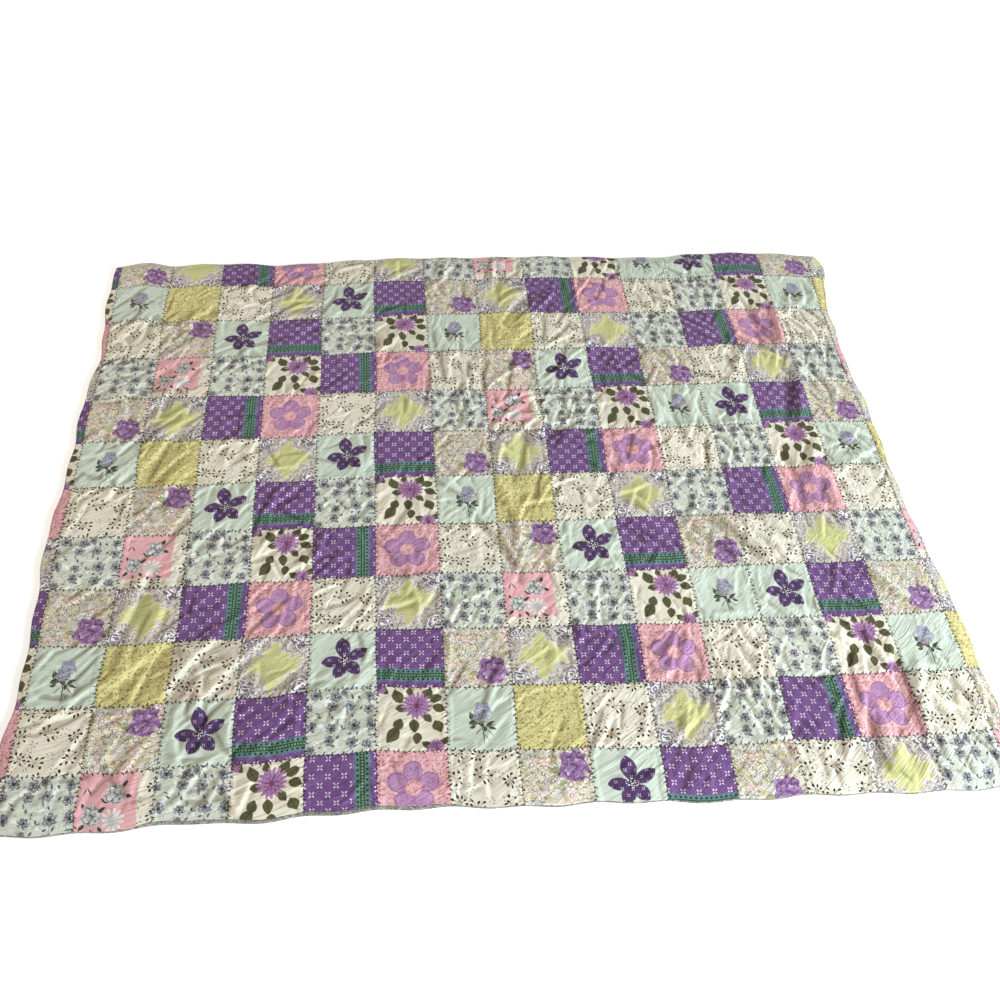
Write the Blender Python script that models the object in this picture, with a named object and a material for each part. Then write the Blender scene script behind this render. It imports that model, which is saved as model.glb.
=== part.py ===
# Patchwork comforter laid out on the floor: a thin filled cloth body over a backing cloth
# whose rim is rolled up round the edge. Metres, +Z up, longest side along X.
# The underside is flat at z = 0, and the origin is at the middle of the underside.

import math

import bmesh
import bpy
import numpy as np

# Patch grid
PATCH = 0.150
COLUMNS = 14
ROWS = 10
CELLS = 5
LEFT_STRIP = 0.022
RIGHT_STRIP = 0.042
FRONT_STRIP = 0.117
BACK_STRIP = 0.106

# Filling and seams, as heights above the floor
SEAM_HEIGHT = 0.0100
LEAST_HEIGHT = 0.0060
PUFF = 0.0055
PUFF_POWER = 3.0
RIM_HEIGHT = 0.0082
RIM_SLOPE = 0.045
RIM_DRAW = 0.0025

# Backing cloth and its rolled rim. The shares are of the roll's height
CLOTH = 0.0015
ROLL_WIDTH = 0.0095
ROLL_HEIGHT = 0.0085
BELLY_SHARE = 0.45
LIP_SHARE = 0.60
FLOOR_INSET = 0.0035
GAP = 0.0003

# Fine puckers between the folds. They turn from a slant on the left half to upright on the right,
# sway from side to side, and fade in and out along their length. The last three are in wavelengths
PUCKER = 0.0012
PUCKER_LENGTHS = (0.118, 0.083)
PUCKER_SLANT = 45
PUCKER_TURN = 35
PUCKER_TURNS_FROM = -0.3
PUCKER_TURNS_OVER = 1.0
PUCKER_SWAY = 0.25
SWAY_LENGTH = 2.7
FADE_LENGTH = 3.1

# Each edge: place along it, and how far the cloth lies beyond its straight rim line (mm)
FRONT_EDGE = (
    (-1.08, -8), (-0.97, -3), (-0.79, 0), (-0.68, -6), (-0.58, -4), (-0.45, -16), (-0.29, -23),
    (-0.15, -16), (0.01, -3), (0.22, 6), (0.44, 17), (0.60, 15), (0.82, 22), (0.97, 24), (1.09, 18),
)

# How much further the strip in front of the last whole row spreads (mm)
FRONT_SPREAD = (
    (-1.09, 7), (-0.95, 5), (-0.80, 0), (-0.68, 0), (-0.58, 6), (-0.45, 12), (-0.29, 15),
    (-0.15, 10), (0.01, 6), (0.16, 0), (0.30, 0), (1.09, 0),
)
BACK_EDGE = (
    (-1.08, -14), (-0.97, 3), (-0.90, -10), (-0.79, -4), (-0.68, -6), (-0.59, -13), (-0.43, -2),
    (-0.30, 8), (0.00, 10), (0.31, 9), (0.44, 2), (0.60, 2), (0.70, 14), (0.90, 15), (1.09, -4),
)
LEFT_EDGE = (
    (-0.86, 2), (-0.75, 11), (-0.65, 6), (-0.58, -1), (-0.42, 0), (-0.30, 5), (-0.17, 14),
    (-0.02, 5), (0.12, 0), (0.27, 2), (0.40, -8), (0.48, -17), (0.57, -9), (0.72, 0), (0.86, -6),
)
RIGHT_EDGE = (
    (-0.87, -10), (-0.75, -2), (-0.60, -6), (-0.45, -6), (-0.30, -18), (-0.12, -30), (0.08, -28),
    (0.25, -27), (0.36, -36), (0.48, -31), (0.60, -26), (0.70, -10), (0.79, 14), (0.86, -6),
)

# How far in from each rim its waviness is still felt, and the share that the last seam takes
SIDE_REACH = 0.45
SIDE_SHARE = 0.40
DEPTH_REACH = 1.40
DEPTH_SHARE = 0.85

# Main folds: x and y of one end, x and y of the other, half width and height, all in mm.
# A negative height is a trough.
FOLDS = (
    (-1000, 300, -870, 420, 26, 6), (-930, 250, -800, 380, 24, 5), (-1030, 520, -930, 640, 24, 5),
    (-960, 470, -860, 600, 24, 5), (-840, 560, -740, 680, 22, 4), (-900, 60, -800, 200, 24, 6),
    (-980, -40, -900, 90, 22, 4), (-870, -60, -740, 60, 24, 5), (-900, -420, -820, -250, 24, 7),
    (-830, -450, -760, -300, 22, 5), (-900, -560, -740, -430, 28, 8), (-780, -600, -640, -440, 26, 8),
    (-680, -620, -560, -470, 24, 6), (-640, -280, -500, -170, 24, 5), (-560, -690, -420, -610, 22, 4),
    (-420, -640, -300, -540, 24, 4), (-380, -120, -230, 20, 24, 4), (-330, 420, -200, 560, 24, 5),
    (-520, 520, -400, 640, 22, 4), (-230, -420, -120, -250, 24, 4), (-60, -120, 40, -330, 24, -5),
    (10, -20, 60, -230, 24, 5), (90, 150, 60, -20, 22, -5), (60, 560, 150, 700, 24, 6),
    (130, 540, 220, 680, 22, 5), (70, 420, 160, 560, 24, 5), (180, 80, 240, 260, 22, -4),
    (250, 380, 380, 500, 24, 4), (300, -620, 420, -500, 24, 4), (380, 60, 480, 210, 24, 4),
    (430, -200, 300, -100, 24, 5), (560, -120, 660, -300, 22, 6), (610, -130, 710, -300, 20, 5),
    (500, -150, 590, -280, 22, 5), (640, -380, 740, -560, 24, 5), (580, 560, 700, 470, 24, 4),
    (690, -420, 800, -540, 22, 4), (710, 220, 760, 420, 24, 5), (800, 640, 830, 430, 26, -6),
    (850, 330, 840, 160, 24, -5), (770, 60, 800, -150, 24, -5), (860, 0, 900, -210, 24, 5),
    (885, 640, 900, 400, 26, 8), (900, 400, 880, 130, 26, 8), (880, 130, 850, -60, 24, 6),
    (930, 560, 1010, 660, 24, 5), (960, 380, 1020, 240, 24, 4), (900, -60, 1010, 60, 24, 5),
    (870, -280, 1000, -420, 24, 5), (790, -820, 770, -700, 22, -6), (830, -810, 800, -690, 20, 5),
    (895, -730, 880, -560, 22, -6), (930, -560, 910, -740, 24, 6), (540, -760, 640, -690, 24, 4),
)

PRINT_COLOUR = (0.60, 0.52, 0.55)
BACKING_COLOUR = (0.33, 0.36, 0.33)


def smooth_edge(table, at):
    """The edge's offset in metres at each place, on a smooth curve through the table's rows."""
    places, offsets = np.array(table, float).T
    slopes = np.gradient(offsets, places)
    at = np.clip(at, places[0], places[-1])
    row = np.clip(np.searchsorted(places, at) - 1, 0, len(places) - 2)
    span = places[row + 1] - places[row]
    u = (at - places[row]) / span
    start = (1 + 2 * u) * (1 - u) ** 2 * offsets[row] + u * (1 - u) ** 2 * span * slopes[row]
    end = u**2 * (3 - 2 * u) * offsets[row + 1] + u**2 * (u - 1) * span * slopes[row + 1]
    return (start + end) / 1000


def line_places(patches, before, after):
    """Places of the mesh lines across the cloth: even cells in each patch, and in the strips at both ends."""
    half = patches * PATCH / 2
    cell = PATCH / CELLS
    low = np.linspace(-half - before, -half, max(1, round(before / cell)) + 1)
    high = np.linspace(half, half + after, max(1, round(after / cell)) + 1)
    whole = np.linspace(-half, half, patches * CELLS + 1)
    return np.concatenate([low[:-1], whole, high[1:]])


def felt(distance, strip, reach, share):
    """How much of an edge's offset a point takes, from its distance to that edge's rim line."""
    near = np.clip(1 - distance / strip, 0, 1)
    far = np.clip(1 - distance / reach, 0, 1)
    return (1 - share) * near + share * far**2


def laid_out(s, t):
    """Where a point of the cloth lies on the floor, from its places s and t across the even patch grid."""
    left, right = -COLUMNS * PATCH / 2 - LEFT_STRIP, COLUMNS * PATCH / 2 + RIGHT_STRIP
    front, back = -ROWS * PATCH / 2 - FRONT_STRIP, ROWS * PATCH / 2 + BACK_STRIP
    draw_x = RIM_DRAW * np.cos(2 * math.pi * t / PATCH)
    draw_y = RIM_DRAW * np.cos(2 * math.pi * s / PATCH)
    x = (
        s
        - (smooth_edge(LEFT_EDGE, t) - draw_x) * felt(s - left, LEFT_STRIP, SIDE_REACH, SIDE_SHARE)
        + (smooth_edge(RIGHT_EDGE, t) - draw_x) * felt(right - s, RIGHT_STRIP, SIDE_REACH, SIDE_SHARE)
    )
    y = (
        t
        - smooth_edge(FRONT_SPREAD, s) * np.clip(1 - (t - front) / FRONT_STRIP, 0, 1)
        - (smooth_edge(FRONT_EDGE, s) - draw_y) * felt(t - front, FRONT_STRIP, DEPTH_REACH, DEPTH_SHARE)
        + (smooth_edge(BACK_EDGE, s) - draw_y) * felt(back - t, BACK_STRIP, DEPTH_REACH, DEPTH_SHARE)
    )
    return x, y


def puffed(s, t):
    """The filling's rise inside each patch, 0 on the seams and 1 in the middle."""
    across = np.abs(2 * (s / PATCH % 1) - 1) ** PUFF_POWER
    along = np.abs(2 * ((t / PATCH) % 1) - 1) ** PUFF_POWER
    return (1 - across) * (1 - along)


def folded(s, t):
    """The rise of the main folds, each a soft ridge or trough along its line that fades out at both ends."""
    rise = np.zeros_like(s)
    for x0, y0, x1, y1, half_width, height in np.array(FOLDS, float) / 1000:
        length = math.hypot(x1 - x0, y1 - y0)
        along = ((s - x0) * (x1 - x0) + (t - y0) * (y1 - y0)) / length**2
        aside = ((s - x0) * (y1 - y0) - (t - y0) * (x1 - x0)) / length
        from_middle = np.abs(2 * along - 1)
        rise += height * np.exp(-(from_middle**4)) * np.exp(-((aside / half_width) ** 2))
    return rise


def puckered(s, t):
    """Shallow puckers, which run from lower left to upper right on the left half."""
    turned = np.clip((s - PUCKER_TURNS_FROM) / PUCKER_TURNS_OVER, 0, 1)
    slant = np.radians(PUCKER_SLANT + PUCKER_TURN * turned)
    aside = s * np.sin(slant) - t * np.cos(slant)
    along = s * np.cos(slant) + t * np.sin(slant)
    rise = np.zeros_like(s)
    for number, length in enumerate(PUCKER_LENGTHS):
        sway = PUCKER_SWAY * np.sin(2 * math.pi * along / (SWAY_LENGTH * length) + number)
        fade = np.cos(2 * math.pi * along / (FADE_LENGTH * length))
        rise += np.sin(2 * math.pi * (aside / length + sway)) * fade
    return PUCKER * rise


def loft(s, t, rim_distance):
    """Height of the top surface above the floor."""
    inward = np.clip(rim_distance / RIM_SLOPE, 0, 1)
    ease = inward * inward * (3 - 2 * inward)
    crown = SEAM_HEIGHT + PUFF * puffed(s, t) + puckered(s, t) + folded(s, t)
    return RIM_HEIGHT + ease * (np.maximum(crown, LEAST_HEIGHT) - RIM_HEIGHT)


def rim_order(across, along):
    """Grid indices of the rim, counterclockwise from the front left corner."""
    front = [(i, 0) for i in range(across - 1)]
    right = [(across - 1, j) for j in range(along - 1)]
    back = [(i, along - 1) for i in range(across - 1, 0, -1)]
    left = [(0, j) for j in range(along - 1, 0, -1)]
    return front + right + back + left


def inset(loop, by):
    """The loop of floor points moved inwards by the given distance."""
    along = np.roll(loop, -1, axis=0) - np.roll(loop, 1, axis=0)
    outward = np.stack([along[:, 1], -along[:, 0]], axis=1)
    outward /= np.linalg.norm(outward, axis=1)[:, None]
    return loop - by * outward


def comforter_grid():
    """The top surface as a grid of points, with its rim at the line where it meets the roll."""
    s_lines = line_places(COLUMNS, LEFT_STRIP, RIGHT_STRIP)
    t_lines = line_places(ROWS, FRONT_STRIP, BACK_STRIP)
    s, t = np.meshgrid(s_lines, t_lines, indexing="ij")
    x, y = laid_out(s, t)
    order = rim_order(*s.shape)
    outline = np.array([(x[i, j], y[i, j]) for i, j in order])
    middle = (outline.min(axis=0) + outline.max(axis=0)) / 2
    outline -= middle
    x, y = x - middle[0], y - middle[1]
    for (i, j), place in zip(order, inset(outline, ROLL_WIDTH + GAP)):
        x[i, j], y[i, j] = place
    from_side = np.minimum(s - s_lines[0], s_lines[-1] - s)
    from_end = np.minimum(t - t_lines[0], t_lines[-1] - t)
    z = loft(s, t, np.minimum(from_side, from_end))
    return np.stack([x, y, z], axis=2), order, outline


def bridge(mesh, lower, upper):
    """Joins two closed loops of the same length with quads that face outwards."""
    count = len(lower)
    for i in range(count):
        j = (i + 1) % count
        mesh.faces.new((lower[i], lower[j], upper[j], upper[i]))


def loop_of(mesh, loop, height):
    return [mesh.verts.new((x, y, height)) for x, y in loop]


def finished(name, mesh, colour, roughness):
    """Turns the bmesh into a named object with its own material."""
    bmesh.ops.recalc_face_normals(mesh, faces=mesh.faces[:])
    mesh.normal_update()
    bmesh.ops.triangulate(mesh, faces=mesh.faces[:], quad_method="BEAUTY", ngon_method="EAR_CLIP")
    data = bpy.data.meshes.new(name)
    mesh.to_mesh(data)
    mesh.free()
    material = bpy.data.materials.new(name)
    material.use_nodes = True
    shader = material.node_tree.nodes["Principled BSDF"]
    shader.inputs["Base Color"].default_value = (*colour, 1)
    shader.inputs["Roughness"].default_value = roughness
    shader.inputs["Metallic"].default_value = 0
    data.materials.append(material)
    made = bpy.data.objects.new(name, data)
    bpy.context.scene.collection.objects.link(made)
    return made


def make_filled_body(grid, order):
    """The printed top over its filling: the puffed and folded surface, short sides and a flat underside."""
    mesh = bmesh.new()
    across, along = grid.shape[:2]
    top = [[mesh.verts.new(grid[i, j]) for j in range(along)] for i in range(across)]
    for i in range(across - 1):
        for j in range(along - 1):
            mesh.faces.new((top[i][j], top[i + 1][j], top[i + 1][j + 1], top[i][j + 1]))
    rim = [top[i][j] for i, j in order]
    foot = loop_of(mesh, [(v.co.x, v.co.y) for v in rim], CLOTH + GAP)
    bridge(mesh, foot, rim)
    mesh.faces.new(reversed(foot))
    return finished("comforter", mesh, PRINT_COLOUR, 0.9)


def make_backing(outline):
    """The backing cloth: flat under the filling, with its rim rolled up round the edge."""
    mesh = bmesh.new()
    ground = loop_of(mesh, inset(outline, FLOOR_INSET), 0)
    belly = loop_of(mesh, outline, ROLL_HEIGHT * BELLY_SHARE)
    crest = loop_of(mesh, inset(outline, ROLL_WIDTH / 2), ROLL_HEIGHT)
    lip = loop_of(mesh, inset(outline, ROLL_WIDTH), ROLL_HEIGHT * LIP_SHARE)
    heel = loop_of(mesh, inset(outline, ROLL_WIDTH), CLOTH)
    for lower, upper in ((ground, belly), (belly, crest), (crest, lip), (lip, heel)):
        bridge(mesh, lower, upper)
    mesh.faces.new(reversed(ground))
    mesh.faces.new(heel)
    return finished("backing", mesh, BACKING_COLOUR, 0.95)


def main():
    for item in list(bpy.context.scene.objects):
        bpy.data.objects.remove(item)
    grid, order, outline = comforter_grid()
    make_filled_body(grid, order)
    make_backing(outline)


main()
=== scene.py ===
# Patchwork comforter, laid out on a pale floor over its CAD frame.
# Lengths are in metres. Columns of patches run along X and rows along Y, and row 0 is at the back.

import inspect
import math
import time

import bpy
import numpy as np
from mathutils import Matrix, Vector


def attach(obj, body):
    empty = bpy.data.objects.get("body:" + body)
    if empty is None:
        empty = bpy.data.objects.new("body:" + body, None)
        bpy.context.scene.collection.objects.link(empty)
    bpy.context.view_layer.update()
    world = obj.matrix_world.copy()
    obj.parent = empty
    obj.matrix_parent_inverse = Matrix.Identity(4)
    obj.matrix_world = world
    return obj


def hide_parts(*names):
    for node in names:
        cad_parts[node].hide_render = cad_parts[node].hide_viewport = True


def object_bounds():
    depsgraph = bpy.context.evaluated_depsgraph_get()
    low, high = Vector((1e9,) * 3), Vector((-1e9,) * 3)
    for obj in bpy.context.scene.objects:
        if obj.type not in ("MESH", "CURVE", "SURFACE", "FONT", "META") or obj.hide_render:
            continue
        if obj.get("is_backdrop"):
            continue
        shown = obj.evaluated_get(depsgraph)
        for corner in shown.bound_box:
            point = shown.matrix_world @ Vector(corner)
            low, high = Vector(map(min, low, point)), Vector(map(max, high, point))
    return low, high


startTime = time.time()
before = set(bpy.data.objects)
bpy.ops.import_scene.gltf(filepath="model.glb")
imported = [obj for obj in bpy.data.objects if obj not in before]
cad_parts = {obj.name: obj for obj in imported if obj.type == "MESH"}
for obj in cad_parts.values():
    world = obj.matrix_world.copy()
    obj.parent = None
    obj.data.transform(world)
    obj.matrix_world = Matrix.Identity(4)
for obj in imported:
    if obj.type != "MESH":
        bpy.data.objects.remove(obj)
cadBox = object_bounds()
print("frame loaded:", ", ".join(sorted(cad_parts)))

# How the patches are laid out. The strips are the part patches round the whole ones
layout = {
    "patch": 0.150,
    "columns": 14,
    "rows": 10,
    "cellsPerPatch": 36,
    "leftStrip": 0.022,
    "rightStrip": 0.042,
    "frontStrip": 0.117,
    "backStrip": 0.106,
    "rimDraw": 0.0025,  # how far the rim draws in between the seams
    "sideReach": 0.45,  # how far in a side rim's waviness is felt, and the share the last seam takes
    "sideShare": 0.40,
    "depthReach": 1.40,
    "depthShare": 0.85,
    "wander": 0.0042,  # how far the seams stray from straight lines, and how far from the rim they do
    "wanderFrom": 0.08,
}

# Place along each rim (m), and how far the cloth lies beyond its straight line there (mm)
rimWaves = {
    "front": (
        (-1.08, -8), (-0.97, -3), (-0.79, 0), (-0.68, -6), (-0.58, -4), (-0.45, -16), (-0.29, -23),
        (-0.15, -16), (0.01, -3), (0.22, 6), (0.44, 17), (0.60, 15), (0.82, 22), (0.97, 24), (1.09, 18),
    ),
    "frontSpread": (  # how much further the strip in front of the last whole row spreads
        (-1.09, 7), (-0.95, 5), (-0.80, 0), (-0.68, 0), (-0.58, 6), (-0.45, 12), (-0.29, 15),
        (-0.15, 10), (0.01, 6), (0.16, 0), (0.30, 0), (1.09, 0),
    ),
    "back": (
        (-1.08, -14), (-0.97, 3), (-0.90, -10), (-0.79, -4), (-0.68, -6), (-0.59, -13), (-0.43, -2),
        (-0.30, 8), (0.00, 10), (0.31, 9), (0.44, 2), (0.60, 2), (0.70, 14), (0.90, 15), (1.09, -4),
    ),
    "left": (
        (-0.86, 2), (-0.75, 11), (-0.65, 6), (-0.58, -1), (-0.42, 0), (-0.30, 5), (-0.17, 14),
        (-0.02, 5), (0.12, 0), (0.27, 2), (0.40, -8), (0.48, -17), (0.57, -9), (0.72, 0), (0.86, -6),
    ),
    "right": (
        (-0.87, -10), (-0.75, -2), (-0.60, -6), (-0.45, -6), (-0.30, -18), (-0.12, -30), (0.08, -28),
        (0.25, -27), (0.36, -36), (0.48, -31), (0.60, -26), (0.70, -10), (0.79, 14), (0.86, -6),
    ),
}

# The thin filling between its seams
filling = {
    "seamHeight": 0.0118,
    "puff": 0.0020,
    "puffPower": 8.0,
    "least": 0.0050,
    "rimHeight": 0.0088,
    "rimSlope": 0.040,
}

# Main folds: x, y of one end, x, y of the other, half width and height, all in mm
mainFolds = (
    (-1000, 300, -870, 420, 26, 6), (-930, 250, -800, 380, 24, 5), (-1030, 520, -930, 640, 24, 5),
    (-960, 470, -860, 600, 24, 5), (-840, 560, -740, 680, 22, 4), (-900, 60, -800, 200, 24, 6),
    (-980, -40, -900, 90, 22, 4), (-870, -60, -740, 60, 24, 5), (-900, -420, -820, -250, 24, 7),
    (-830, -450, -760, -300, 22, 5), (-900, -560, -740, -430, 28, 8), (-780, -600, -640, -440, 26, 8),
    (-680, -620, -560, -470, 24, 6), (-640, -280, -500, -170, 24, 5), (-560, -690, -420, -610, 22, 4),
    (-420, -640, -300, -540, 24, 4), (-380, -120, -230, 20, 24, 4), (-330, 420, -200, 560, 24, 5),
    (-520, 520, -400, 640, 22, 4), (-230, -420, -120, -250, 24, 4), (-60, -120, 40, -330, 24, -5),
    (10, -20, 60, -230, 24, 5), (90, 150, 60, -20, 22, -5), (60, 560, 150, 700, 24, 6),
    (130, 540, 220, 680, 22, 5), (70, 420, 160, 560, 24, 5), (180, 80, 240, 260, 22, -4),
    (250, 380, 380, 500, 24, 4), (300, -620, 420, -500, 24, 4), (380, 60, 480, 210, 24, 4),
    (430, -200, 300, -100, 24, 5), (560, -120, 660, -300, 22, 6), (610, -130, 710, -300, 20, 5),
    (500, -150, 590, -280, 22, 5), (640, -380, 740, -560, 24, 5), (580, 560, 700, 470, 24, 4),
    (690, -420, 800, -540, 22, 4), (710, 220, 760, 420, 24, 5), (800, 640, 830, 430, 26, -6),
    (850, 330, 840, 160, 24, -5), (770, 60, 800, -150, 24, -5), (860, 0, 900, -210, 24, 5),
    (885, 640, 900, 400, 26, 8), (900, 400, 880, 130, 26, 8), (880, 130, 850, -60, 24, 6),
    (930, 560, 1010, 660, 24, 5), (960, 380, 1020, 240, 24, 4), (900, -60, 1010, 60, 24, 5),
    (870, -280, 1000, -420, 24, 5), (790, -820, 770, -700, 22, -6), (830, -810, 800, -690, 20, 5),
    (895, -730, 880, -560, 22, -6), (930, -560, 910, -740, 24, 6), (540, -760, 640, -690, 24, 4),
)

# Slack in the washed cotton: short creases, and how the cloth settles round them
slack = {
    "seed": 27,
    "creases": 2500,
    "angleAt": (-1.05, -0.4, 0.2, 0.6, 1.05),  # places from left to right, and the creases' angle at each
    "angle": (46, 50, 66, 92, 108),
    "turn": 31,  # degrees by which creases stray from their direction
    "shortness": 1.6,  # over 1, more of them are short than long
    "length": (0.030, 0.125),
    "width": (0.0038, 0.0115),
    "height": (0.0006, 0.0029),
    "foldShare": 1.0,  # of the main folds' height
    "steepSide": 0.55,  # width of a fold's steep side, as a share of its easy side
    "foldPower": 1.7,  # over 1, folds are rounder on top
    "foldBow": 0.06,  # how far a fold bows aside, as a share of its length
    "growth": 0.022,  # spare length across the creases
    "evenGrowth": 0.008,
    "bending": 0.03,
    "shear": 0.5,
    "heldBy": 0.02,  # how firmly the filling holds the cloth
    "heldAtSeams": 0.10,
    "seamWidth": 0.006,
    "steps": 90,
    "noise": 0.0004,
}


def smoothRim(name, at):
    # a smooth curve through the rim's table, in metres
    places, offsets = np.array(rimWaves[name], float).T
    slopes = np.gradient(offsets, places)
    at = np.clip(at, places[0], places[-1])
    row = np.clip(np.searchsorted(places, at) - 1, 0, len(places) - 2)
    span = places[row + 1] - places[row]
    u = (at - places[row]) / span
    start = (1 + 2 * u) * (1 - u) ** 2 * offsets[row] + u * (1 - u) ** 2 * span * slopes[row]
    end = u**2 * (3 - 2 * u) * offsets[row + 1] + u**2 * (u - 1) * span * slopes[row + 1]
    return (start + end) / 1000


def gridLines(patches, before, after):
    half = patches * layout["patch"] / 2
    cell = layout["patch"] / layout["cellsPerPatch"]
    low = np.linspace(-half - before, -half, round(before / cell) + 1)
    high = np.linspace(half, half + after, round(after / cell) + 1)
    whole = np.linspace(-half, half, patches * layout["cellsPerPatch"] + 1)
    return np.concatenate([low[:-1], whole, high[1:]])


def feltFrom(distance, strip, reach, share):
    near = np.clip(1 - distance / strip, 0, 1)
    far = np.clip(1 - distance / reach, 0, 1)
    return (1 - share) * near + share * far**2


def layOut(s, t, rims):
    # where a point of the even patch grid lies on the floor
    patch = layout["patch"]
    side, depth = (layout["sideReach"], layout["sideShare"]), (layout["depthReach"], layout["depthShare"])
    drawX = layout["rimDraw"] * np.cos(2 * math.pi * t / patch)
    drawY = layout["rimDraw"] * np.cos(2 * math.pi * s / patch)
    x = s - (smoothRim("left", t) - drawX) * feltFrom(s - rims[0], layout["leftStrip"], *side)
    x += (smoothRim("right", t) - drawX) * feltFrom(rims[1] - s, layout["rightStrip"], *side)
    y = t - (smoothRim("front", s) - drawY) * feltFrom(t - rims[2], layout["frontStrip"], *depth)
    y -= smoothRim("frontSpread", s) * np.clip(1 - (t - rims[2]) / layout["frontStrip"], 0, 1)
    y += (smoothRim("back", s) - drawY) * feltFrom(rims[3] - t, layout["backStrip"], *depth)
    return x, y


def rimOrder(across, along):
    # indices of the rim, counterclockwise from the front left corner
    front = [(i, 0) for i in range(across - 1)]
    right = [(across - 1, j) for j in range(along - 1)]
    back = [(i, along - 1) for i in range(across - 1, 0, -1)]
    left = [(0, j) for j in range(along - 1, 0, -1)]
    return np.array(front + right + back + left)


sLines = gridLines(layout["columns"], layout["leftStrip"], layout["rightStrip"])
tLines = gridLines(layout["rows"], layout["frontStrip"], layout["backStrip"])
gridS, gridT = np.meshgrid(sLines, tLines, indexing="ij")
rimPlaces = (sLines[0], sLines[-1], tLines[0], tLines[-1])
planX, planY = layOut(gridS, gridT, rimPlaces)
rim = rimOrder(*gridS.shape)
outline = np.stack([planX[rim[:, 0], rim[:, 1]], planY[rim[:, 0], rim[:, 1]]], axis=1)
middle = (outline.min(axis=0) + outline.max(axis=0)) / 2
outline -= middle
planX -= middle[0]
planY -= middle[1]
print("plan laid out:", gridS.shape, "points")


def rimDistance():
    fromSide = np.minimum(gridS - sLines[0], sLines[-1] - gridS)
    fromEnd = np.minimum(gridT - tLines[0], tLines[-1] - gridT)
    return np.minimum(fromSide, fromEnd)


def seamDistance():
    patch = layout["patch"]
    across, along = (np.abs((grid / patch + 0.5) % 1 - 0.5) * patch for grid in (gridS, gridT))
    return np.minimum(across, along)


def softNoise(scale, seed):
    # smooth noise over the grid from -1 to 1, with blobs about this wide
    lattice = np.random.default_rng(seed).uniform(-1, 1, (80, 80))
    u, v = (gridS + 3) / scale, (gridT + 3) / scale
    i, j = np.floor(u).astype(int) % 78, np.floor(v).astype(int) % 78
    fu, fv = u - np.floor(u), v - np.floor(v)
    fu, fv = fu * fu * (3 - 2 * fu), fv * fv * (3 - 2 * fv)
    low = lattice[i, j] * (1 - fu) + lattice[i + 1, j] * fu
    high = lattice[i, j + 1] * (1 - fu) + lattice[i + 1, j + 1] * fu
    return low * (1 - fv) + high * fv


def strayed(seed):
    # how the seams wander on the floor, nothing at the rim
    stray = softNoise(0.24, seed) + 0.45 * softNoise(0.10, seed + 1)
    return layout["wander"] * np.clip(rimDistance() / layout["wanderFrom"], 0, 1) * stray


planX += strayed(31)
planY += strayed(41)


def creaseAngle(s):
    # creases slant up to the right on the left half, and stand upright or lean back at the right
    return np.radians(np.interp(s, slack["angleAt"], slack["angle"]))


def foldProfile(aside, halfWidth):
    steep = halfWidth * np.where(aside > 0, slack["steepSide"], 1)
    return np.exp(-((np.abs(aside) / steep) ** slack["foldPower"]))


def addFold(height, fold, share):
    # raises the grid along one fold, only where it reaches
    x0, y0, x1, y1, halfWidth, rise = fold
    length = math.hypot(x1 - x0, y1 - y0)
    reach = 0.3 * length + 2.5 * halfWidth
    i0, i1 = np.searchsorted(sLines, (min(x0, x1) - reach, max(x0, x1) + reach))
    j0, j1 = np.searchsorted(tLines, (min(y0, y1) - reach, max(y0, y1) + reach))
    s, t = gridS[i0:i1, j0:j1], gridT[i0:i1, j0:j1]
    along = ((s - x0) * (x1 - x0) + (t - y0) * (y1 - y0)) / length**2
    bow = slack["foldBow"] * length * np.sin(math.pi * along + 9 * x0)
    aside = ((s - x0) * (y1 - y0) - (t - y0) * (x1 - x0)) / length + bow
    fade = np.exp(-(np.abs(2 * along - 1) ** 4))
    height[i0:i1, j0:j1] += share * rise * fade * foldProfile(aside, halfWidth)


def scatterCreases(height):
    draw = np.random.default_rng(slack["seed"])
    crowd = softNoise(0.17, slack["seed"])
    for _ in range(slack["creases"]):
        s, t = draw.uniform(sLines[0], sLines[-1]), draw.uniform(tLines[0], tLines[-1])
        size = draw.uniform(0, 1) ** slack["shortness"]
        angle = creaseAngle(s) + math.radians(draw.normal(0, slack["turn"]))
        ranges = (slack[name] for name in ("length", "width", "height"))
        length, width, rise = (low + size * (high - low) for low, high in ranges)
        rise *= draw.choice((1, 1, -0.8))
        dx, dy = length / 2 * math.cos(angle), length / 2 * math.sin(angle)
        i = min(np.searchsorted(sLines, s), len(sLines) - 1)
        j = min(np.searchsorted(tLines, t), len(tLines) - 1)
        addFold(height, (s - dx, t - dy, s + dx, t + dy, width, rise), 1 + 0.5 * crowd[i, j])


def channelHeight():
    # low along the seams, raised over each patch
    across, along = (
        np.abs(2 * (grid / layout["patch"] % 1) - 1) ** filling["puffPower"] for grid in (gridS, gridT)
    )
    return filling["seamHeight"] + filling["puff"] * (1 - across) * (1 - along)


def fillingHeight():
    height = channelHeight()
    for fold in mainFolds:
        addFold(height, [value / 1000 for value in fold], slack["foldShare"])
    scatterCreases(height)
    return height


def easedToRim(height):
    inward = np.clip(rimDistance() / filling["rimSlope"], 0, 1)
    ease = inward * inward * (3 - 2 * inward)
    return filling["rimHeight"] + ease * (np.maximum(height, filling["least"]) - filling["rimHeight"])


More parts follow.
